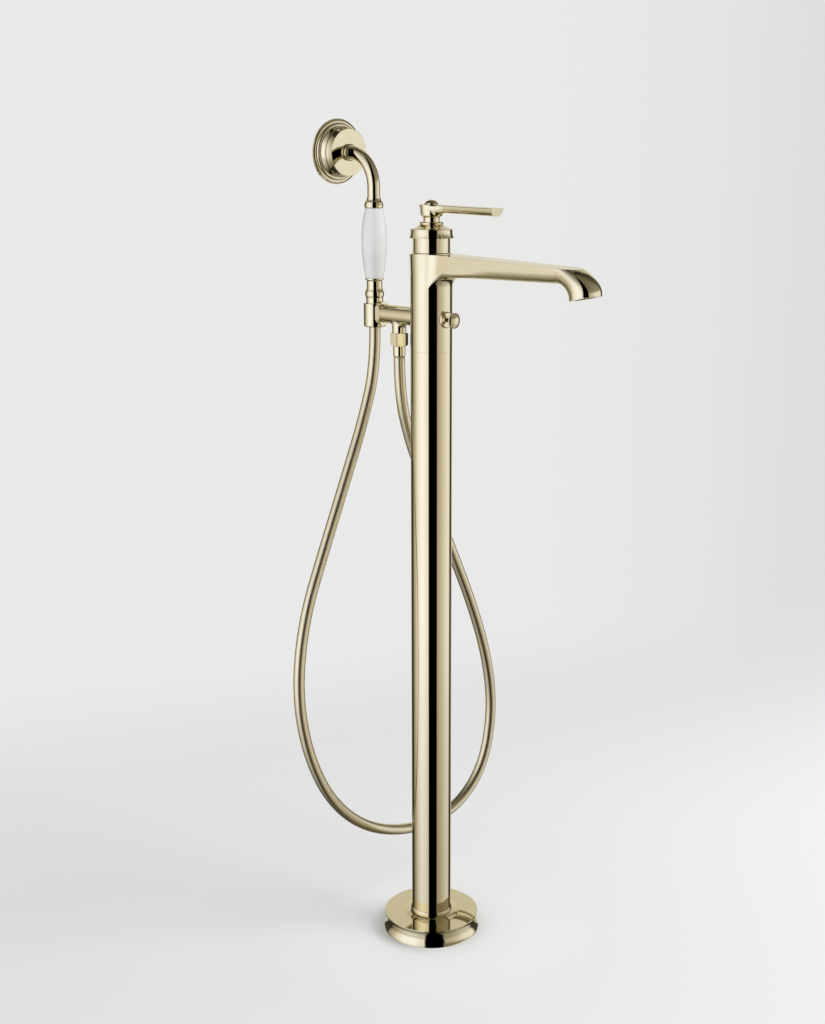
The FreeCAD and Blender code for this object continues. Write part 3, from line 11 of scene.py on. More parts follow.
import bpy
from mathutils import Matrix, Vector


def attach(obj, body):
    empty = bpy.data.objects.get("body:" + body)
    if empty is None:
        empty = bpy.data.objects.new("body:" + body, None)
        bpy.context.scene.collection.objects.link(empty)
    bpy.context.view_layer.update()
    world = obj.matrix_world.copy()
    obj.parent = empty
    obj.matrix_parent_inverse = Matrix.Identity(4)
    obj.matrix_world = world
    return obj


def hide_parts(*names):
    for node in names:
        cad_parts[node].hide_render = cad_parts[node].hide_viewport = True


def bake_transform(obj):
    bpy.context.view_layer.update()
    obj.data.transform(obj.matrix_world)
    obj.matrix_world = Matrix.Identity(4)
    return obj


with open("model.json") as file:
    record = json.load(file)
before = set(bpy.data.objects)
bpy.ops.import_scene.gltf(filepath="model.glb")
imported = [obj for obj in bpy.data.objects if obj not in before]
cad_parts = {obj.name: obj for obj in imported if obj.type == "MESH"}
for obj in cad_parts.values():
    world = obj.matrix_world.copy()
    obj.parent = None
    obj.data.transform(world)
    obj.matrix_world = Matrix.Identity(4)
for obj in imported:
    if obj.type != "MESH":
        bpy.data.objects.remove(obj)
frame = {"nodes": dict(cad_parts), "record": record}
bpy.context.scene.view_settings.view_transform = "Standard"
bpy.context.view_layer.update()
cad = frame["nodes"]

# %% [markdown]
# ## The camera
# The photograph was taken from a little above the spout, looking down by 13 degrees, with the spout
# running to the right and towards the camera. The place and lens here were worked out from the column's
# edges, its seam and the round base. The frame is upright, so the sensor's long side is its height.

# %% Place the camera
MM = 0.001
camera_data = bpy.data.cameras.new("studio_camera")
camera_data.sensor_width = 36
camera_data.lens = 51.51
camera_data.shift_x = -0.0185
camera = bpy.data.objects.new("studio_camera", camera_data)
bpy.context.scene.collection.objects.link(camera)
CAMERA_SPOT = (1.2378, -1.2163, 0.9671)
LOOK_DOWN, CAMERA_TURN = 13.43, 45.5
camera.location = CAMERA_SPOT
camera.rotation_euler = (math.radians(90 - LOOK_DOWN), 0, math.radians(CAMERA_TURN))
bpy.context.scene.camera = camera
print("camera at", tuple(round(c, 3) for c in camera.location))

# %% [markdown]
# ## The hose's line
# A shower hose is a fixed length of something springy. It leaves its nut straight down, swings out to one
# side, turns round behind the column near the floor and climbs on the other side up into the handset's
# cone. A NURBS spline gives that one smooth line, and its control points are the route's corners.

# %% Draw the hose's line
HOSE_ROUTE = (
    (-0.0556, 0, 0.7382), (-0.0556, 0, 0.694), (-0.0575, 0.018, 0.632), (-0.061, 0.055, 0.560),
    (-0.064, 0.098, 0.478), (-0.066, 0.144, 0.385), (-0.0685, 0.176, 0.300), (-0.071, 0.188, 0.222),
    (-0.073, 0.172, 0.145), (-0.075, 0.122, 0.100), (-0.077, 0.045, 0.092), (-0.0785, -0.038, 0.120),
    (-0.0805, -0.098, 0.175), (-0.0825, -0.134, 0.250), (-0.085, -0.147, 0.335), (-0.0875, -0.132, 0.425),
    (-0.0905, -0.093, 0.510), (-0.0935, -0.055, 0.590), (-0.0965, -0.022, 0.660), (-0.099, 0, 0.722),
    (-0.099, 0, 0.774))
route_data = bpy.data.curves.new("hose_route", "CURVE")
route_data.dimensions = "3D"
route_data.resolution_u = 20
spline = route_data.splines.new("NURBS")
spline.points.add(len(HOSE_ROUTE) - 1)
for point, spot in zip(spline.points, HOSE_ROUTE):
    point.co = (*spot, 1)
spline.order_u = 3
spline.use_endpoint_u = True
route = bpy.data.objects.new("hose_route", route_data)
bpy.context.scene.collection.objects.link(route)
bpy.context.view_layer.update()
line = bpy.data.meshes.new_from_object(route)
hose_line = [vertex.co.copy() for vertex in line.vertices]
bpy.data.objects.remove(route)
bpy.data.meshes.remove(line)

# %% [markdown]
# ## The hose itself
# A metal shower hose is a strip wound so finely that from here it looks like a smooth tube with a soft
# shine. The tube is a mesh swept along the line, with a ring of corners at each step that is carried on
# without twisting.

# %% Sweep the hose along its line
def swept_tube(name, line, radius, sides):
    """Closed tube round a line."""
    headings = [(b - a).normalized() for a, b in zip(line, line[1:])]
    bends = [(a + b).normalized() for a, b in zip(headings, headings[1:])]
    headings = [headings[0]] + bends + [headings[-1]]
    side = headings[0].orthogonal().normalized()
    corners = []
    for spot, heading in zip(line, headings):
        side = (side - heading * side.dot(heading)).normalized()
        across = heading.cross(side)
        for i in range(sides):
            angle = 2 * math.pi * i / sides
            corners.append(spot + (side * math.cos(angle) + across * math.sin(angle)) * radius)
    faces = []
    for row in range(len(line) - 1):
        here, there = row * sides, (row + 1) * sides
        for i in range(sides):
            after = (i + 1) % sides
            faces.append((here + i, here + after, there + after, there + i))
    last = (len(line) - 1) * sides
    faces.append(tuple(reversed(range(sides))))
    faces.append(tuple(last + i for i in range(sides)))
    mesh = bpy.data.meshes.new(name)
    mesh.from_pydata(corners, [], faces)
    mesh.shade_smooth()
    thing = bpy.data.objects.new(name, mesh)
    bpy.context.scene.collection.objects.link(thing)
    return thing


HOSE_DIAMETER = 0.014
hose = swept_tube("shower_hose", hose_line, HOSE_DIAMETER / 2, 32)
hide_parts("hose_sheath", "hose_liner")
print("hose mesh:", len(hose.data.polygons), "faces")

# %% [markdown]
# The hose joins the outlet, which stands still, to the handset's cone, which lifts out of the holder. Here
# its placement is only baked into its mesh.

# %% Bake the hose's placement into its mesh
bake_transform(hose)

# %% [markdown]
# ## The cast body and its spout
# Barrel, fillets and spout are one casting whose surfaces flow into each other, and polish shows every
# kink in them. Boxes and cylinders joined by a Boolean would leave seams there. The skin is found instead:
# a few sums say whether a place is inside the casting, and rings of corners are pushed out from its middle
# until they reach the skin. Sizes here are in millimetres, as on a workshop drawing.

# %% Describe the barrel and where the spout grows out of it
SEAM, BODY_TOP, CEILING = 749.5, 863.0, 872.0
BARREL, HALF_SPOUT = 25.0, 17.5
SIDE_ROUND, UNDER_ROUND, EDGE_ROUND = 25.0, 14.0, 6.0
ROOT, BEND = (40.0, 824.0), (203.4, 820.5)
FLARE, FLARE_HEIGHT = 1.1, 37.0
UNDERSIDE, UNDERSIDE_RISE = 837.8, 1.9


def barrel_radius(z):
    """The barrel flares a little over its last stretch, along an arc."""
    bow = (FLARE_HEIGHT ** 2 + FLARE ** 2) / (2 * FLARE)
    return BARREL + bow - math.sqrt(bow ** 2 - max(z - (BODY_TOP - FLARE_HEIGHT), 0) ** 2)


def underside(x):
    """Height of the spout's flat underside."""
    return UNDERSIDE + UNDERSIDE_RISE * min(max((x - ROOT[0]) / (BEND[0] - ROOT[0]), 0), 1)


def plan_outline(x, y, radius):
    """Distance outside the barrel and spout seen from above, and the way that outline faces."""
    middle_y = HALF_SPOUT + SIDE_ROUND
    middle_x = math.sqrt((radius + SIDE_ROUND) ** 2 - middle_y ** 2)
    if x >= middle_x:
        return y - HALF_SPOUT, (0.0, 1.0)
    if y * middle_x < x * middle_y:
        far = math.hypot(x - middle_x, y - middle_y)
        return SIDE_ROUND - far, ((middle_x - x) / far, (middle_y - y) / far)
    reach = max(math.hypot(x, y), 1e-6)
    return reach - radius, (x / reach, y / reach)


# %% Round the edges where two surfaces meet
def rounded_edge(first, second, alike, radius):
    """Distance outside what two solids share, its edge rounded. Alike is the cosine between their faces."""
    up = first + radius - alike * (second + radius)
    over = second + radius - alike * (first + radius)
    if up <= 0 or over <= 0:
        return max(first, second)
    return math.sqrt(((first + radius) * up + (second + radius) * over) / (1 - alike ** 2)) - radius


def outside_root(x, y, z):
    """How far a place is outside the barrel, its fillets and the start of the spout."""
    y, radius = abs(y), barrel_radius(z)
    reach = max(math.hypot(x, y), 1e-6)
    out, low = reach - radius, underside(x) - z
    hollow = math.hypot(max(UNDER_ROUND - out, 0), max(UNDER_ROUND - low, 0))
    under = max(UNDER_ROUND, min(out, low)) - hollow
    side, face = plan_outline(x, y, radius)
    share = max(UNDER_ROUND - out, 0) / hollow if hollow > 0 and low < UNDER_ROUND else float(out < low)
    alike = min(share * (x * face[0] + y * face[1]) / reach, 0.9999)
    return rounded_edge(side, under, alike, EDGE_ROUND)


# %% Describe the end of the spout
MOUTH_TURN = math.radians(12)
NOSE_TOP, NOSE_REACH, NOSE_SLOPE, NOSE_BOW = 856.0, 225.1, 1.97, 0.039
NOSE_RUN, NOSE_RUN_LOSS, NOSE_POWER = 25.0, 6.0, 2.4
INNER_BEND, INNER_BEND_LOSS = 19.2, 5.2
DEPTH, DEPTH_LOSS, MOUTH_SPREAD = 22.0, 5.3, 1.2
FULLNESS, FULLNESS_LOSS = 3.3, 1.3
BLEND_START, BLEND_RUN = 45.0, 75.0


def eased(share):
    """Soft step between 0 and 1."""
    share = min(max(share, 0), 1)
    return share * share * (3 - 2 * share)


def nose_tip(z):
    """How far the spout reaches at a height: a parabola over its end."""
    drop = NOSE_TOP - z
    return NOSE_REACH + NOSE_SLOPE * drop - NOSE_BOW * max(drop, 0) ** 2


def outside_end(x, y, z):
    """How far a place is outside the spout, from its straight part to its mouth."""
    turned, above = 0.0, z - underside(x)
    if x > BEND[0]:
        turned = (math.pi / 2 - math.atan2(z - BEND[1], x - BEND[0])) / (math.pi / 2 - MOUTH_TURN)
        above = math.hypot(x - BEND[0], z - BEND[1]) - INNER_BEND + INNER_BEND_LOSS * min(max(turned, 0), 1)
    if above <= 0:
        return abs(y) - above
    share = eased(turned)
    half, high = HALF_SPOUT + MOUTH_SPREAD * share, DEPTH - DEPTH_LOSS * share
    fullness = FULLNESS - FULLNESS_LOSS * share
    half *= (1 - (1 - min(above / high, 1)) ** fullness) ** (1 / fullness)
    nose = NOSE_RUN - NOSE_RUN_LOSS * share
    past = min(max((x - nose_tip(z) + nose) / nose, 0), 1)
    return abs(y) - half * (1 - past ** NOSE_POWER) ** (1 / NOSE_POWER)


def outside_spout(x, y, z):
    """The root's shape turns softly into that of the end."""
    share = eased((x - BLEND_START) / BLEND_RUN)
    return share * outside_end(x, y, z) + (1 - share) * outside_root(x, y, z)


MOUTH_HEIGHT = 830.3
print("spout reaches", round(nose_tip(MOUTH_HEIGHT), 1), "mm at its mouth")

# %% Push rings of corners out to the skin
SIDES = 192


def skin_ring(origin, outward, outside):
    """Corners on the skin, seen from a place inside it, in the plane of outward and the sideways axis."""
    half_ring = []
    for i in range(SIDES // 2 + 1):
        angle = 2 * math.pi * i / SIDES
        way = Vector((outward[0] * math.cos(angle), math.sin(angle), outward[1] * math.cos(angle)))
        start = Vector((origin[0], 0, origin[1]))
        near, step = 0.0, 2.0
        while step > 0.001:
            spot = start + way * (near + step)
            if spot.z < CEILING and outside(*spot) < 0:
                near += step
            else:
                step /= 2
        half_ring.append(start + way * near)
    return half_ring + [Vector((c.x, -c.y, c.z)) for c in reversed(half_ring[1:-1])]


def around(centre, way, from_axis):
    """Where the middle line is: a little way out from the centre of a bend."""
    return centre[0] + way[0] * from_axis, centre[1] + way[1] * from_axis


SPIGOT, SPIGOT_LENGTH, SEAM_BREAK = 23.35, 22.0, 0.35
BARREL_RUN = 72.0
BARREL_STEPS, ROOT_STEPS, STRAIGHT_STEPS, END_STEPS = 15, 36, 22, 40
ROOT_AXIS, ROOT_AXIS_LOSS = 40, 15
SPOUT_AXIS_HEIGHT = 849
END_AXIS, END_AXIS_GAIN = 28.5, 2.2
LAST_STEP = Vector((0.31, 0, -1.47))
rings = []
for r, z in ((SPIGOT, SEAM - SPIGOT_LENGTH), (SPIGOT, SEAM), (BARREL - SEAM_BREAK, SEAM)):
    angles = [2 * math.pi * i / SIDES for i in range(SIDES)]
    rings.append([Vector((-r * math.cos(angle), r * math.sin(angle), z)) for angle in angles])
for step in range(BARREL_STEPS + 1):
    z = SEAM + SEAM_BREAK + (BARREL_RUN - SEAM_BREAK) * step / BARREL_STEPS
    rings.append(skin_ring((0, z), (-1, 0), outside_root))
for step in range(ROOT_STEPS + 1):
    turn = math.pi / 2 * step / ROOT_STEPS
    way = (-math.cos(turn), math.sin(turn))
    from_axis = ROOT_AXIS - ROOT_AXIS_LOSS * step / ROOT_STEPS
    rings.append(skin_ring(around(ROOT, way, from_axis), way, outside_root))
for step in range(1, STRAIGHT_STEPS + 1):
    x = ROOT[0] + (BEND[0] - ROOT[0]) * step / STRAIGHT_STEPS
    rings.append(skin_ring((x, SPOUT_AXIS_HEIGHT), (0, 1), outside_spout))
for step in range(1, END_STEPS + 1):
    turn = math.pi / 2 + (MOUTH_TURN - math.pi / 2) * step / END_STEPS
    way = (math.cos(turn), math.sin(turn))
    from_axis = END_AXIS + END_AXIS_GAIN * step / END_STEPS
    rings.append(skin_ring(around(BEND, way, from_axis), way, outside_end))
rings.append([corner + LAST_STEP for corner in rings[-1]])
print(len(rings), "rings of", SIDES, "corners")

# %% [markdown]
# The rings are bridged into one closed skin. Above the body's top they run too high on purpose: two cuts
# with flat planes then leave the crisp top edge that the casting has, because a flat face that is sawn off
# stays truly flat, and a polished flat face shows the smallest dent.

# %% Bridge the rings and saw the top off
corners = [corner * MM for ring in rings for corner in ring]
faces = [tuple(reversed(range(SIDES))), tuple(range(len(corners) - SIDES, len(corners)))]
for row in range(len(rings) - 1):
    for i in range(SIDES):
        a, b = row * SIDES + i, row * SIDES + (i + 1) % SIDES
        faces.append((a, b, b + SIDES, a + SIDES))
casting_mesh = bpy.data.meshes.new("mixer_casting")
casting_mesh.from_pydata(corners, [], faces)
casting = bpy.data.objects.new("mixer_casting", casting_mesh)
bpy.context.scene.collection.objects.link(casting)
bpy.ops.object.select_all(action="DESELECT")
casting.select_set(True)
bpy.context.view_layer.objects.active = casting
SLOPE, SLOPE_START = math.radians(2), 26.1
bpy.ops.object.mode_set(mode="EDIT")
bpy.ops.mesh.select_all(action="SELECT")
bpy.ops.mesh.remove_doubles(threshold=0.00002)
bpy.ops.mesh.normals_make_consistent(inside=False)
bpy.ops.mesh.bisect(plane_co=(0, 0, BODY_TOP * MM), plane_no=(0, 0, 1), use_fill=True, clear_outer=True)
bpy.ops.mesh.select_all(action="SELECT")
bpy.ops.mesh.bisect(plane_co=(SLOPE_START * MM, 0, BODY_TOP * MM), use_fill=True, clear_outer=True,
                    plane_no=(math.sin(SLOPE), 0, math.cos(SLOPE)))
bpy.ops.mesh.select_all(action="SELECT")
bpy.ops.mesh.remove_doubles(threshold=0.0001)
bpy.ops.object.mode_set(mode="OBJECT")
print("casting:", len(casting.data.polygons), "faces")

# %% Break the sharp edges and bore the casting
def bore(name, radius, start, end, operation="DIFFERENCE"):
    """Cut a round bore through the casting, or add a round neck to it."""
    start, end = Vector(start) * MM, Vector(end) * MM
    bpy.ops.object.select_all(action="DESELECT")
    bpy.ops.mesh.primitive_cylinder_add(vertices=96, radius=radius * MM, depth=(end - start).length,
                                        location=(start + end) / 2,
                                        rotation=(end - start).to_track_quat("Z", "Y").to_euler())
    tool = bpy.context.object
    cut = casting.modifiers.new(name, "BOOLEAN")
    cut.operation = operation
    cut.solver = "EXACT"
    cut.object = tool
    bpy.ops.object.select_all(action="DESELECT")
    casting.select_set(True)
    bpy.context.view_layer.objects.active = casting
    bpy.ops.object.modifier_apply(modifier=name)
    bpy.data.objects.remove(tool)


chamfer = casting.modifiers.new("broken_edges", "BEVEL")
chamfer.width = 0.0006
chamfer.segments = 1
chamfer.limit_method = "ANGLE"
chamfer.angle_limit = math.radians(50)
bpy.ops.object.modifier_apply(modifier="broken_edges")
OUTFLOW = Vector((math.sin(MOUTH_TURN), 0, -math.cos(MOUTH_TURN)))
MOUTH = Vector((233.3, 0, 826.8))
ARM_HEIGHT = 787.6
bore("well_neck", 18.9, (0, 0, 858), (0, 0, 881), "UNION")
bore("cartridge_well", 17.6, (0, 0, 838), (0, 0, 882))
bore("aerator_bore", 12.0, MOUTH - OUTFLOW * 17, MOUTH + OUTFLOW * 5)
bore("arm_port", 8.05, (-30, 0, ARM_HEIGHT), (-14, 0, ARM_HEIGHT))
bore("valve_bore", 5.6, (-30, 0, ARM_HEIGHT), (30, 0, ARM_HEIGHT))
bore("rosette_seat", 9.85, (24, 0, ARM_HEIGHT), (30, 0, ARM_HEIGHT))
SMOOTH_UP_TO = math.radians(35)
ALMOST_UP = 0.999
bpy.ops.object.shade_smooth_by_angle(angle=SMOOTH_UP_TO)
for face in casting.data.polygons:
    if face.normal.z > ALMOST_UP:
        face.use_smooth = False
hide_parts("mixer_body")
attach(casting, "stand")
print("bored casting:", len(casting.data.polygons), "faces")

# %% [markdown]
# ## Writing finishes as sums
# A procedural finish is a small recipe of nodes. Two helpers keep it readable: a wire is the output of a
# node, and adding or multiplying wires adds the Math nodes. Every other node comes from one method that
# takes its type, its settings and what goes into its sockets.

# %% Helpers for node recipes
class Wire:
    """Output of a shader node. Sums written with it add Math nodes."""

    def __init__(self, recipe, socket):
        self.recipe = recipe
        self.socket = socket

    def math(self, operation, first, second=0.0):
        return self.recipe.add("ShaderNodeMath", {"operation": operation}, {0: first, 1: second})

    def __add__(self, other):
        return self.math("ADD", self, other)

    def __radd__(self, other):
        return self.math("ADD", other, self)

    def __sub__(self, other):
        return self.math("SUBTRACT", self, other)

    def __rsub__(self, other):
        return self.math("SUBTRACT", other, self)

    def __mul__(self, other):
        return self.math("MULTIPLY", self, other)

    def __truediv__(self, other):
        return self.math("DIVIDE", self, other)


class Recipe:
    """The nodes of one finish, of the floor or of the studio's surroundings."""

    def __init__(self, owner):
        owner.use_nodes = True
        self.tree = owner.node_tree
        self.tree.nodes.clear()

    def add(self, kind, settings=None, sockets=None, out=0):
        node = self.tree.nodes.new(kind)
        for name, setting in (settings or {}).items():
            if name == "stops":
                self.set_stops(node.color_ramp, setting)
            elif name == "blend":
                node.color_ramp.interpolation = setting
            else:
                setattr(node, name, setting)
        for name, given in (sockets or {}).items():
            if isinstance(given, Wire):
                self.tree.links.new(given.socket, node.inputs[name])
            else:
                node.inputs[name].default_value = given
        return Wire(self, node.outputs[out]) if len(node.outputs) else None

    def set_stops(self, ramp, stops):
        while len(ramp.elements) < len(stops):
            ramp.elements.new(1.0)
        for element, (spot, colour) in zip(ramp.elements, stops):
            element.position = spot
            element.color = (*colour, 1)

    def mix(self, share, first, second):
        """Colour between two colours."""
        return self.add("ShaderNodeMix", {"data_type": "RGBA"}, {0: share, 6: first, 7: second}, out=2)

    def smooth(self, wire, low, high, to_low=0.0, to_high=1.0):
        """Soft step from one value to another as the wire goes from low to high."""
        return self.add("ShaderNodeMapRange", {"interpolation_type": "SMOOTHSTEP"},
                        {0: wire, 1: low, 2: high, 3: to_low, 4: to_high})

    def noise(self, place, scale, detail):
        return self.add("ShaderNodeTexNoise", {}, {"Vector": place, "Scale": scale, "Detail": detail})

    def bump(self, height, depth):
        return self.add("ShaderNodeBump", {}, {"Height": height, "Distance": depth, "Strength": 1.0})


# %% [markdown]
# ## The studio round the object
# Polished metal has almost no colour of its own to show: it shows the room. In this studio a large soft
# screen stands on the left, a weaker one on the right, and between them is a dark gap that gives the column
# its black stripe. The world's colour is therefore a ramp round the compass, brighter and darker with
# height, and the camera itself sees only the plain pale backdrop. The right screen is a low one: above it
# hangs a dull olive, which the gooseneck and the spout's nose pick up.

# %% Paint the studio's surroundings
def compass(recipe, direction, turn):
    """Share of a turn round the upright axis, 0.5 at the side that turn names in degrees, and height."""
    turned = recipe.add("ShaderNodeMapping", {"vector_type": "POINT"},
                        {"Vector": direction, "Rotation": (0, 0, math.radians(-turn))})
    split = recipe.add("ShaderNodeSeparateXYZ", {}, {0: turned}).socket.node
    east, north, up = [Wire(recipe, socket) for socket in split.outputs]
    return east.math("ARCTAN2", north, east) / (2 * math.pi) + 0.5, up


def ring_stops(levels):
    """Ramp stops from (degrees off the camera's side, brightness): dim ones warm, bright ones white."""
    stops = []
    for degrees, level in levels:
        over = max(level - 0.5, 0)
        blue = (0.76 + 0.75 * over) * (0.93 if abs(degrees) > 152 else 1)
        stops.append(((degrees + 180) / 360, (level, level * (0.93 + 0.2 * over), level * blue)))
    return stops


def height_stops(levels):
    """Ramp stops from (share of the way up, brightness). Dim ones are warm."""
    stops = []
    for spot, level in levels:
        stops.append((spot, (level, level * (0.95 + 0.05 * level), level * (0.78 + 0.22 * level))))
    return stops


SCREENS = (
    (-180, 0.69), (-160, 0.66), (-156, 0.05), (-124, 0.05), (-119, 0.30), (-109, 0.44), (-99, 0.57),
    (-90, 0.75), (-82, 0.87), (-68, 1.00), (-54, 1.06), (-41, 1.03), (-35, 0.97), (-28, 0.90),
    (-18, 0.86), (-15, 0.10), (-13, 0.0), (29, 0.0), (31, 0.08), (34, 0.42), (43, 0.48),
    (56, 0.57), (70, 0.68), (85, 0.83), (112, 0.87), (119, 0.75), (124, 0.20), (127, 0.05),
    (150, 0.05), (154, 0.66), (180, 0.69))
HEIGHTS = (
    (0.0, 0.10), (0.12, 0.20), (0.25, 0.56), (0.35, 0.73), (0.40, 1.0), (0.58, 1.0), (0.66, 0.88),
    (0.76, 0.48), (0.88, 0.20), (1.0, 0.14))
CAMERA_SIDE = -44.5
world = bpy.data.worlds.new("studio")
bpy.context.scene.world = world
sky = Recipe(world)
direction = sky.add("ShaderNodeTexCoord", out=0)
turn, height = compass(sky, direction, CAMERA_SIDE)
screens = sky.add("ShaderNodeValToRGB", {"stops": ring_stops(SCREENS), "blend": "LINEAR"}, {0: turn})
tilt = height.math("ARCSINE", height) / math.pi + 0.5
shade = sky.add("ShaderNodeValToRGB", {"stops": height_stops(HEIGHTS)}, {0: tilt})
MULTIPLY = {"data_type": "RGBA", "blend_type": "MULTIPLY"}
STUDIO_GAIN = 1.07
seen = sky.add("ShaderNodeMix", MULTIPLY, {0: 1.0, 6: screens, 7: shade}, out=2)
seen = sky.add("ShaderNodeVectorMath", {"operation": "SCALE"}, {0: seen, "Scale": STUDIO_GAIN})
OLIVE, OLIVE_SHARE = (0.16, 0.145, 0.10, 1), 0.8
RIGHT_FROM, RIGHT_TO, SCREEN_TOP = (0.575, 0.595), (0.86, 0.92), (0.53, 0.62)
right_side = sky.smooth(turn, *RIGHT_FROM) * sky.smooth(turn, *RIGHT_TO, 1.0, 0.0)
seen = sky.mix(right_side * sky.smooth(tilt, *SCREEN_TOP, 0.0, OLIVE_SHARE), seen, OLIVE)
gap = [degrees for degrees, level in SCREENS if level == 0.0]
print("studio: dark gap from", gap[0], "to", gap[-1], "degrees off the camera's side")

# %% [markdown]
# Soft fill light comes from all sides of a white studio, so rays that light matt surfaces see the screens
# mostly mixed with plain white. What the camera sees behind the object is the backdrop's pale grey, which
# changes a little from left to right.

# %% Send each ray to its part of the studio
PALE_STOPS = (
    (0.0, 0.72), (0.40, 0.70), (0.44, 0.70), (0.46, 0.735), (0.473, 0.785), (0.488, 0.812),
    (0.517, 0.82), (0.545, 0.815), (0.58, 0.80), (1.0, 0.72))
BACKDROP = [(spot, (level, level, level * 0.992)) for spot, level in PALE_STOPS]
rays = sky.add("ShaderNodeLightPath").socket.node
is_camera, is_diffuse = Wire(sky, rays.outputs["Is Camera Ray"]), Wire(sky, rays.outputs["Is Diffuse Ray"])
FILL, FILL_SHARE = (0.97, 0.975, 0.99, 1), 0.75
AWAY_SIDE = CAMERA_SIDE + 180
lighting = sky.mix(is_diffuse * FILL_SHARE, seen, FILL)
back_turn, _ = compass(sky, direction, AWAY_SIDE)
backdrop = sky.add("ShaderNodeValToRGB", {"stops": BACKDROP, "blend": "EASE"}, {0: back_turn})
surroundings = sky.mix(is_camera, lighting, backdrop)
background = sky.add("ShaderNodeBackground", {}, {"Color": surroundings, "Strength": 1.0})
sky.add("ShaderNodeOutputWorld", {}, {"Surface": background})

# %% [markdown]
# ## The key light and the floor
# One broad light from the right gives the soft shadow that runs to the left of the base. The floor is a
# pale sheet that rises into the backdrop far behind the object, so it fades from lit floor to backdrop
# colour along the line where the sheet turns up. Light and shade are also painted into the floor's colour:
# painted light makes it brighter towards the picture's right, where the key light stands, and painted shade
# makes it darker towards that line. Close to the base a painted pool of light makes it a little paler, and
# on the shaded side a painted contact shadow darkens it where the cover stands on it. Metal doesn't see the
# floor, only the screens.

# %% Hang the key light
key_data = bpy.data.lights.new("key", "SUN")
key_data.energy = 0.95
key_data.angle = math.radians(34)
key = bpy.data.objects.new("key", key_data)
bpy.context.scene.collection.objects.link(key)
KEY_SIDE, KEY_HEIGHT = math.radians(31.6), math.radians(42)
KEY_FROM = Vector((math.cos(KEY_SIDE), math.sin(KEY_SIDE), math.tan(KEY_HEIGHT)))
key.rotation_mode = "QUATERNION"
key.rotation_quaternion = KEY_FROM.to_track_quat("Z", "Y")
key.visible_glossy = False
print("key light comes from", tuple(round(c, 2) for c in KEY_FROM.normalized()))

# %% Lay the floor
bpy.ops.object.select_all(action="DESELECT")
bpy.ops.mesh.primitive_circle_add(vertices=96, radius=60, fill_type="NGON", location=(0, 0, 0))
floor = bpy.context.object
floor.name = "studio_floor"
floor.visible_glossy = False
sheet = bpy.data.materials.new("floor_sheet")
ground = Recipe(sheet)
spot = ground.add("ShaderNodeTexCoord", out=3)
split = ground.add("ShaderNodeSeparateXYZ", {}, {0: spot}).socket.node
east, north = Wire(ground, split.outputs[0]), Wire(ground, split.outputs[1])
SHEET_AWAY, PICTURE_RIGHT = (-0.923, 0.385), (0.701, 0.713)
behind = east * SHEET_AWAY[0] + north * SHEET_AWAY[1]
across = east * PICTURE_RIGHT[0] + north * PICTURE_RIGHT[1]
# Painted light: the floor's colour is brighter towards the picture's right, where the key light stands, and
# painted shade makes it darker towards the line where the sheet turns up.
LIT, FLOOR_TONE, PAINTED_LIGHT_SLOPE = 0.955, 0.79, 0.13
painted_shade_near_wall = ground.smooth(behind, 0.0, 0.75)
floor_tone_and_painted_light = FLOOR_TONE + across * PAINTED_LIGHT_SLOPE - painted_shade_near_wall * (across + 0.45) * PAINTED_LIGHT_SLOPE
floor_tone_and_painted_light = ground.add("ShaderNodeMath", {"operation": "MINIMUM"}, {0: floor_tone_and_painted_light, 1: 0.875})
floor_tone_and_painted_light = ground.add("ShaderNodeMath", {"operation": "MAXIMUM"}, {0: floor_tone_and_painted_light, 1: 0.70})
distance = ground.add("ShaderNodeVectorMath", {"operation": "LENGTH"}, {0: spot}, out=1)
PAINTED_CONTACT_SHADOW, PAINTED_GLOW_NEAR_BASE = 0.2, 0.06
# Painted shadow: on the shaded side the floor darkens in a narrow ring round the cover, where it stands on
# the floor.
shaded_side = ground.smooth(across, -0.05, 0.02, 1.0, 0.0)
painted_contact_shadow = ground.smooth(distance, 0.061, 0.083, PAINTED_CONTACT_SHADOW, 0.0) * shaded_side
# Painted light: the floor is made a little paler close to the base.
painted_glow_near_base = ground.smooth(distance, 0.08, 0.25, PAINTED_GLOW_NEAR_BASE, 0.0)
floor_tone_and_painted_light = floor_tone_and_painted_light * (1 + painted_glow_near_base) * (1 - painted_contact_shadow)
floor_tone_and_painted_light = floor_tone_and_painted_light / LIT
pale = ground.add("ShaderNodeCombineColor", {}, {0: floor_tone_and_painted_light, 1: floor_tone_and_painted_light, 2: floor_tone_and_painted_light * 0.995})
lit_floor = ground.add("ShaderNodeBsdfDiffuse", {}, {"Color": pale})
STUDIO_FRONT = (*CAMERA_SPOT[:2], 0)
from_front = ground.add("ShaderNodeVectorMath", {"operation": "SUBTRACT"}, {0: spot, 1: STUDIO_FRONT})
floor_turn, _ = compass(ground, from_front, AWAY_SIDE)
wall = ground.add("ShaderNodeValToRGB", {"stops": BACKDROP, "blend": "EASE"}, {0: floor_turn})
wall_glow = ground.add("ShaderNodeEmission", {}, {"Color": wall, "Strength": 1.0})
far = ground.smooth(distance, 1.6, 4.0)
rise = ground.smooth(behind, 0.62, 1.15)
fade = ground.add("ShaderNodeMath", {"operation": "MAXIMUM"}, {0: far, 1: rise})
both = ground.add("ShaderNodeMixShader", {}, {0: fade, 1: lit_floor, 2: wall_glow})
ground.add("ShaderNodeOutputMaterial", {}, {"Surface": both})
floor.data.materials.append(sheet)

# %% [markdown]
# ## Finishes
# The pale gold is a thin hard coating on polished brass: a metal with a warm colour, nearly mirror smooth.
# Real polishing leaves faint waves and a haze that changes a little from place to place, so roughness and
# bump both follow soft noise. The same recipe with other numbers gives the drawn tube and the hose.

# %% Mix the gold
GOLD = (0.87, 0.785, 0.56, 1)


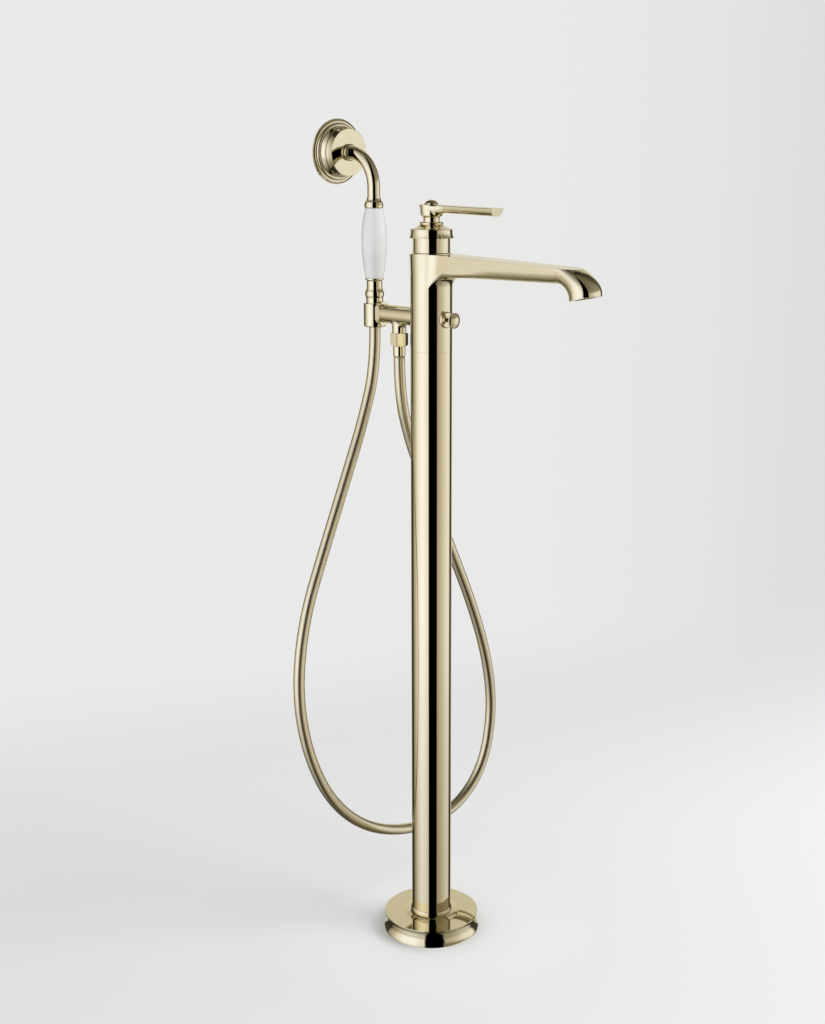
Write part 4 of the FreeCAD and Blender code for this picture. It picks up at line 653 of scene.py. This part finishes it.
def metal_finish(name, colour, roughness, haze, wave, wave_scale, stretch=(1, 1, 1)):
    """Polished metal: haze is how much the roughness wanders, wave how far its surface is out of true."""
    finish = bpy.data.materials.new(name)
    recipe = Recipe(finish)
    spot = recipe.add("ShaderNodeTexCoord", out=3)
    place = recipe.add("ShaderNodeMapping", {}, {"Vector": spot, "Scale": stretch})
    cloud = recipe.noise(place, 60.0, 4.0)
    waves = recipe.noise(place, wave_scale, 1.0)
    darker = tuple(part * 0.965 for part in colour[:3]) + (1,)
    tone = recipe.mix(recipe.smooth(cloud, 0.35, 0.7), darker, colour)
    relief = recipe.bump(waves, wave)
    surface = recipe.add("ShaderNodeBsdfPrincipled", {}, {
        "Base Color": tone, "Metallic": 1.0, "Roughness": roughness + cloud * haze, "Normal": relief})
    recipe.add("ShaderNodeOutputMaterial", {}, {"Surface": surface})
    return finish


finishes = {
    "polished_gold": metal_finish("polished_gold", GOLD, 0.02, 0.03, 0.00001, 35.0),
    "column_gold": metal_finish("column_gold", GOLD, 0.03, 0.03, 0.00001, 30.0, (1, 1, 0.12)),
    "hose_gold": metal_finish("hose_gold", GOLD, 0.30, 0.04, 0.0, 120.0),
    "raw_brass": metal_finish("raw_brass", (0.72, 0.52, 0.25, 1), 0.25, 0.15, 0.00005, 180.0),
    "steel": metal_finish("steel", (0.62, 0.62, 0.63, 1), 0.28, 0.15, 0.00004, 200.0),
    "braided_steel": metal_finish("braided_steel", (0.58, 0.58, 0.59, 1), 0.35, 0.15, 0.0003, 600.0),
}


def plain_finish(name, colour, roughness, grain, grain_scale, coat=0.0):
    """Moulded, rubber or glazed surface: its colour and gloss wander softly over a fine grain."""
    finish = bpy.data.materials.new(name)
    recipe = Recipe(finish)
    spot = recipe.add("ShaderNodeTexCoord", out=3)
    cloud = recipe.noise(spot, 45.0, 3.0)
    pores = recipe.noise(spot, grain_scale, 2.0)
    darker = tuple(part * 0.94 for part in colour[:3]) + (1,)
    tone = recipe.mix(recipe.smooth(cloud, 0.3, 0.7), darker, colour)
    relief = recipe.bump(pores, grain)
    surface = recipe.add("ShaderNodeBsdfPrincipled", {}, {
        "Base Color": tone, "Roughness": roughness + (cloud - 0.5) * 0.1, "Normal": relief,
        "Coat Weight": coat, "Coat Roughness": 0.03})
    recipe.add("ShaderNodeOutputMaterial", {}, {"Surface": surface})
    return finish


finishes.update({
    "porcelain": plain_finish("porcelain", (0.91, 0.912, 0.915, 1), 0.35, 0.00001, 90.0, 1.0),
    "black_rubber": plain_finish("black_rubber", (0.025, 0.025, 0.026, 1), 0.75, 0.00006, 1500.0),
    "grey_rubber": plain_finish("grey_rubber", (0.12, 0.12, 0.125, 1), 0.7, 0.00006, 1500.0),
    "white_plastic": plain_finish("white_plastic", (0.80, 0.80, 0.79, 1), 0.45, 0.00003, 1200.0),
    "black_plastic": plain_finish("black_plastic", (0.02, 0.02, 0.022, 1), 0.4, 0.00003, 1200.0),
    "cartridge_plastic": plain_finish("cartridge_plastic", (0.66, 0.64, 0.58, 1), 0.45, 0.00003, 1200.0),
    "valve_ceramic": plain_finish("valve_ceramic", (0.84, 0.82, 0.77, 1), 0.22, 0.00001, 1800.0),
})
hose.data.materials.append(finishes["hose_gold"])
casting.data.materials.append(finishes["polished_gold"])
print("finishes:", ", ".join(sorted(finishes)))

# %% Give every solid its finish
for part in frame["record"]["subparts"]:
    solid = cad[part["node"]]
    solid.data.materials.clear()
    solid.data.materials.append(finishes[part["material_slot"]])
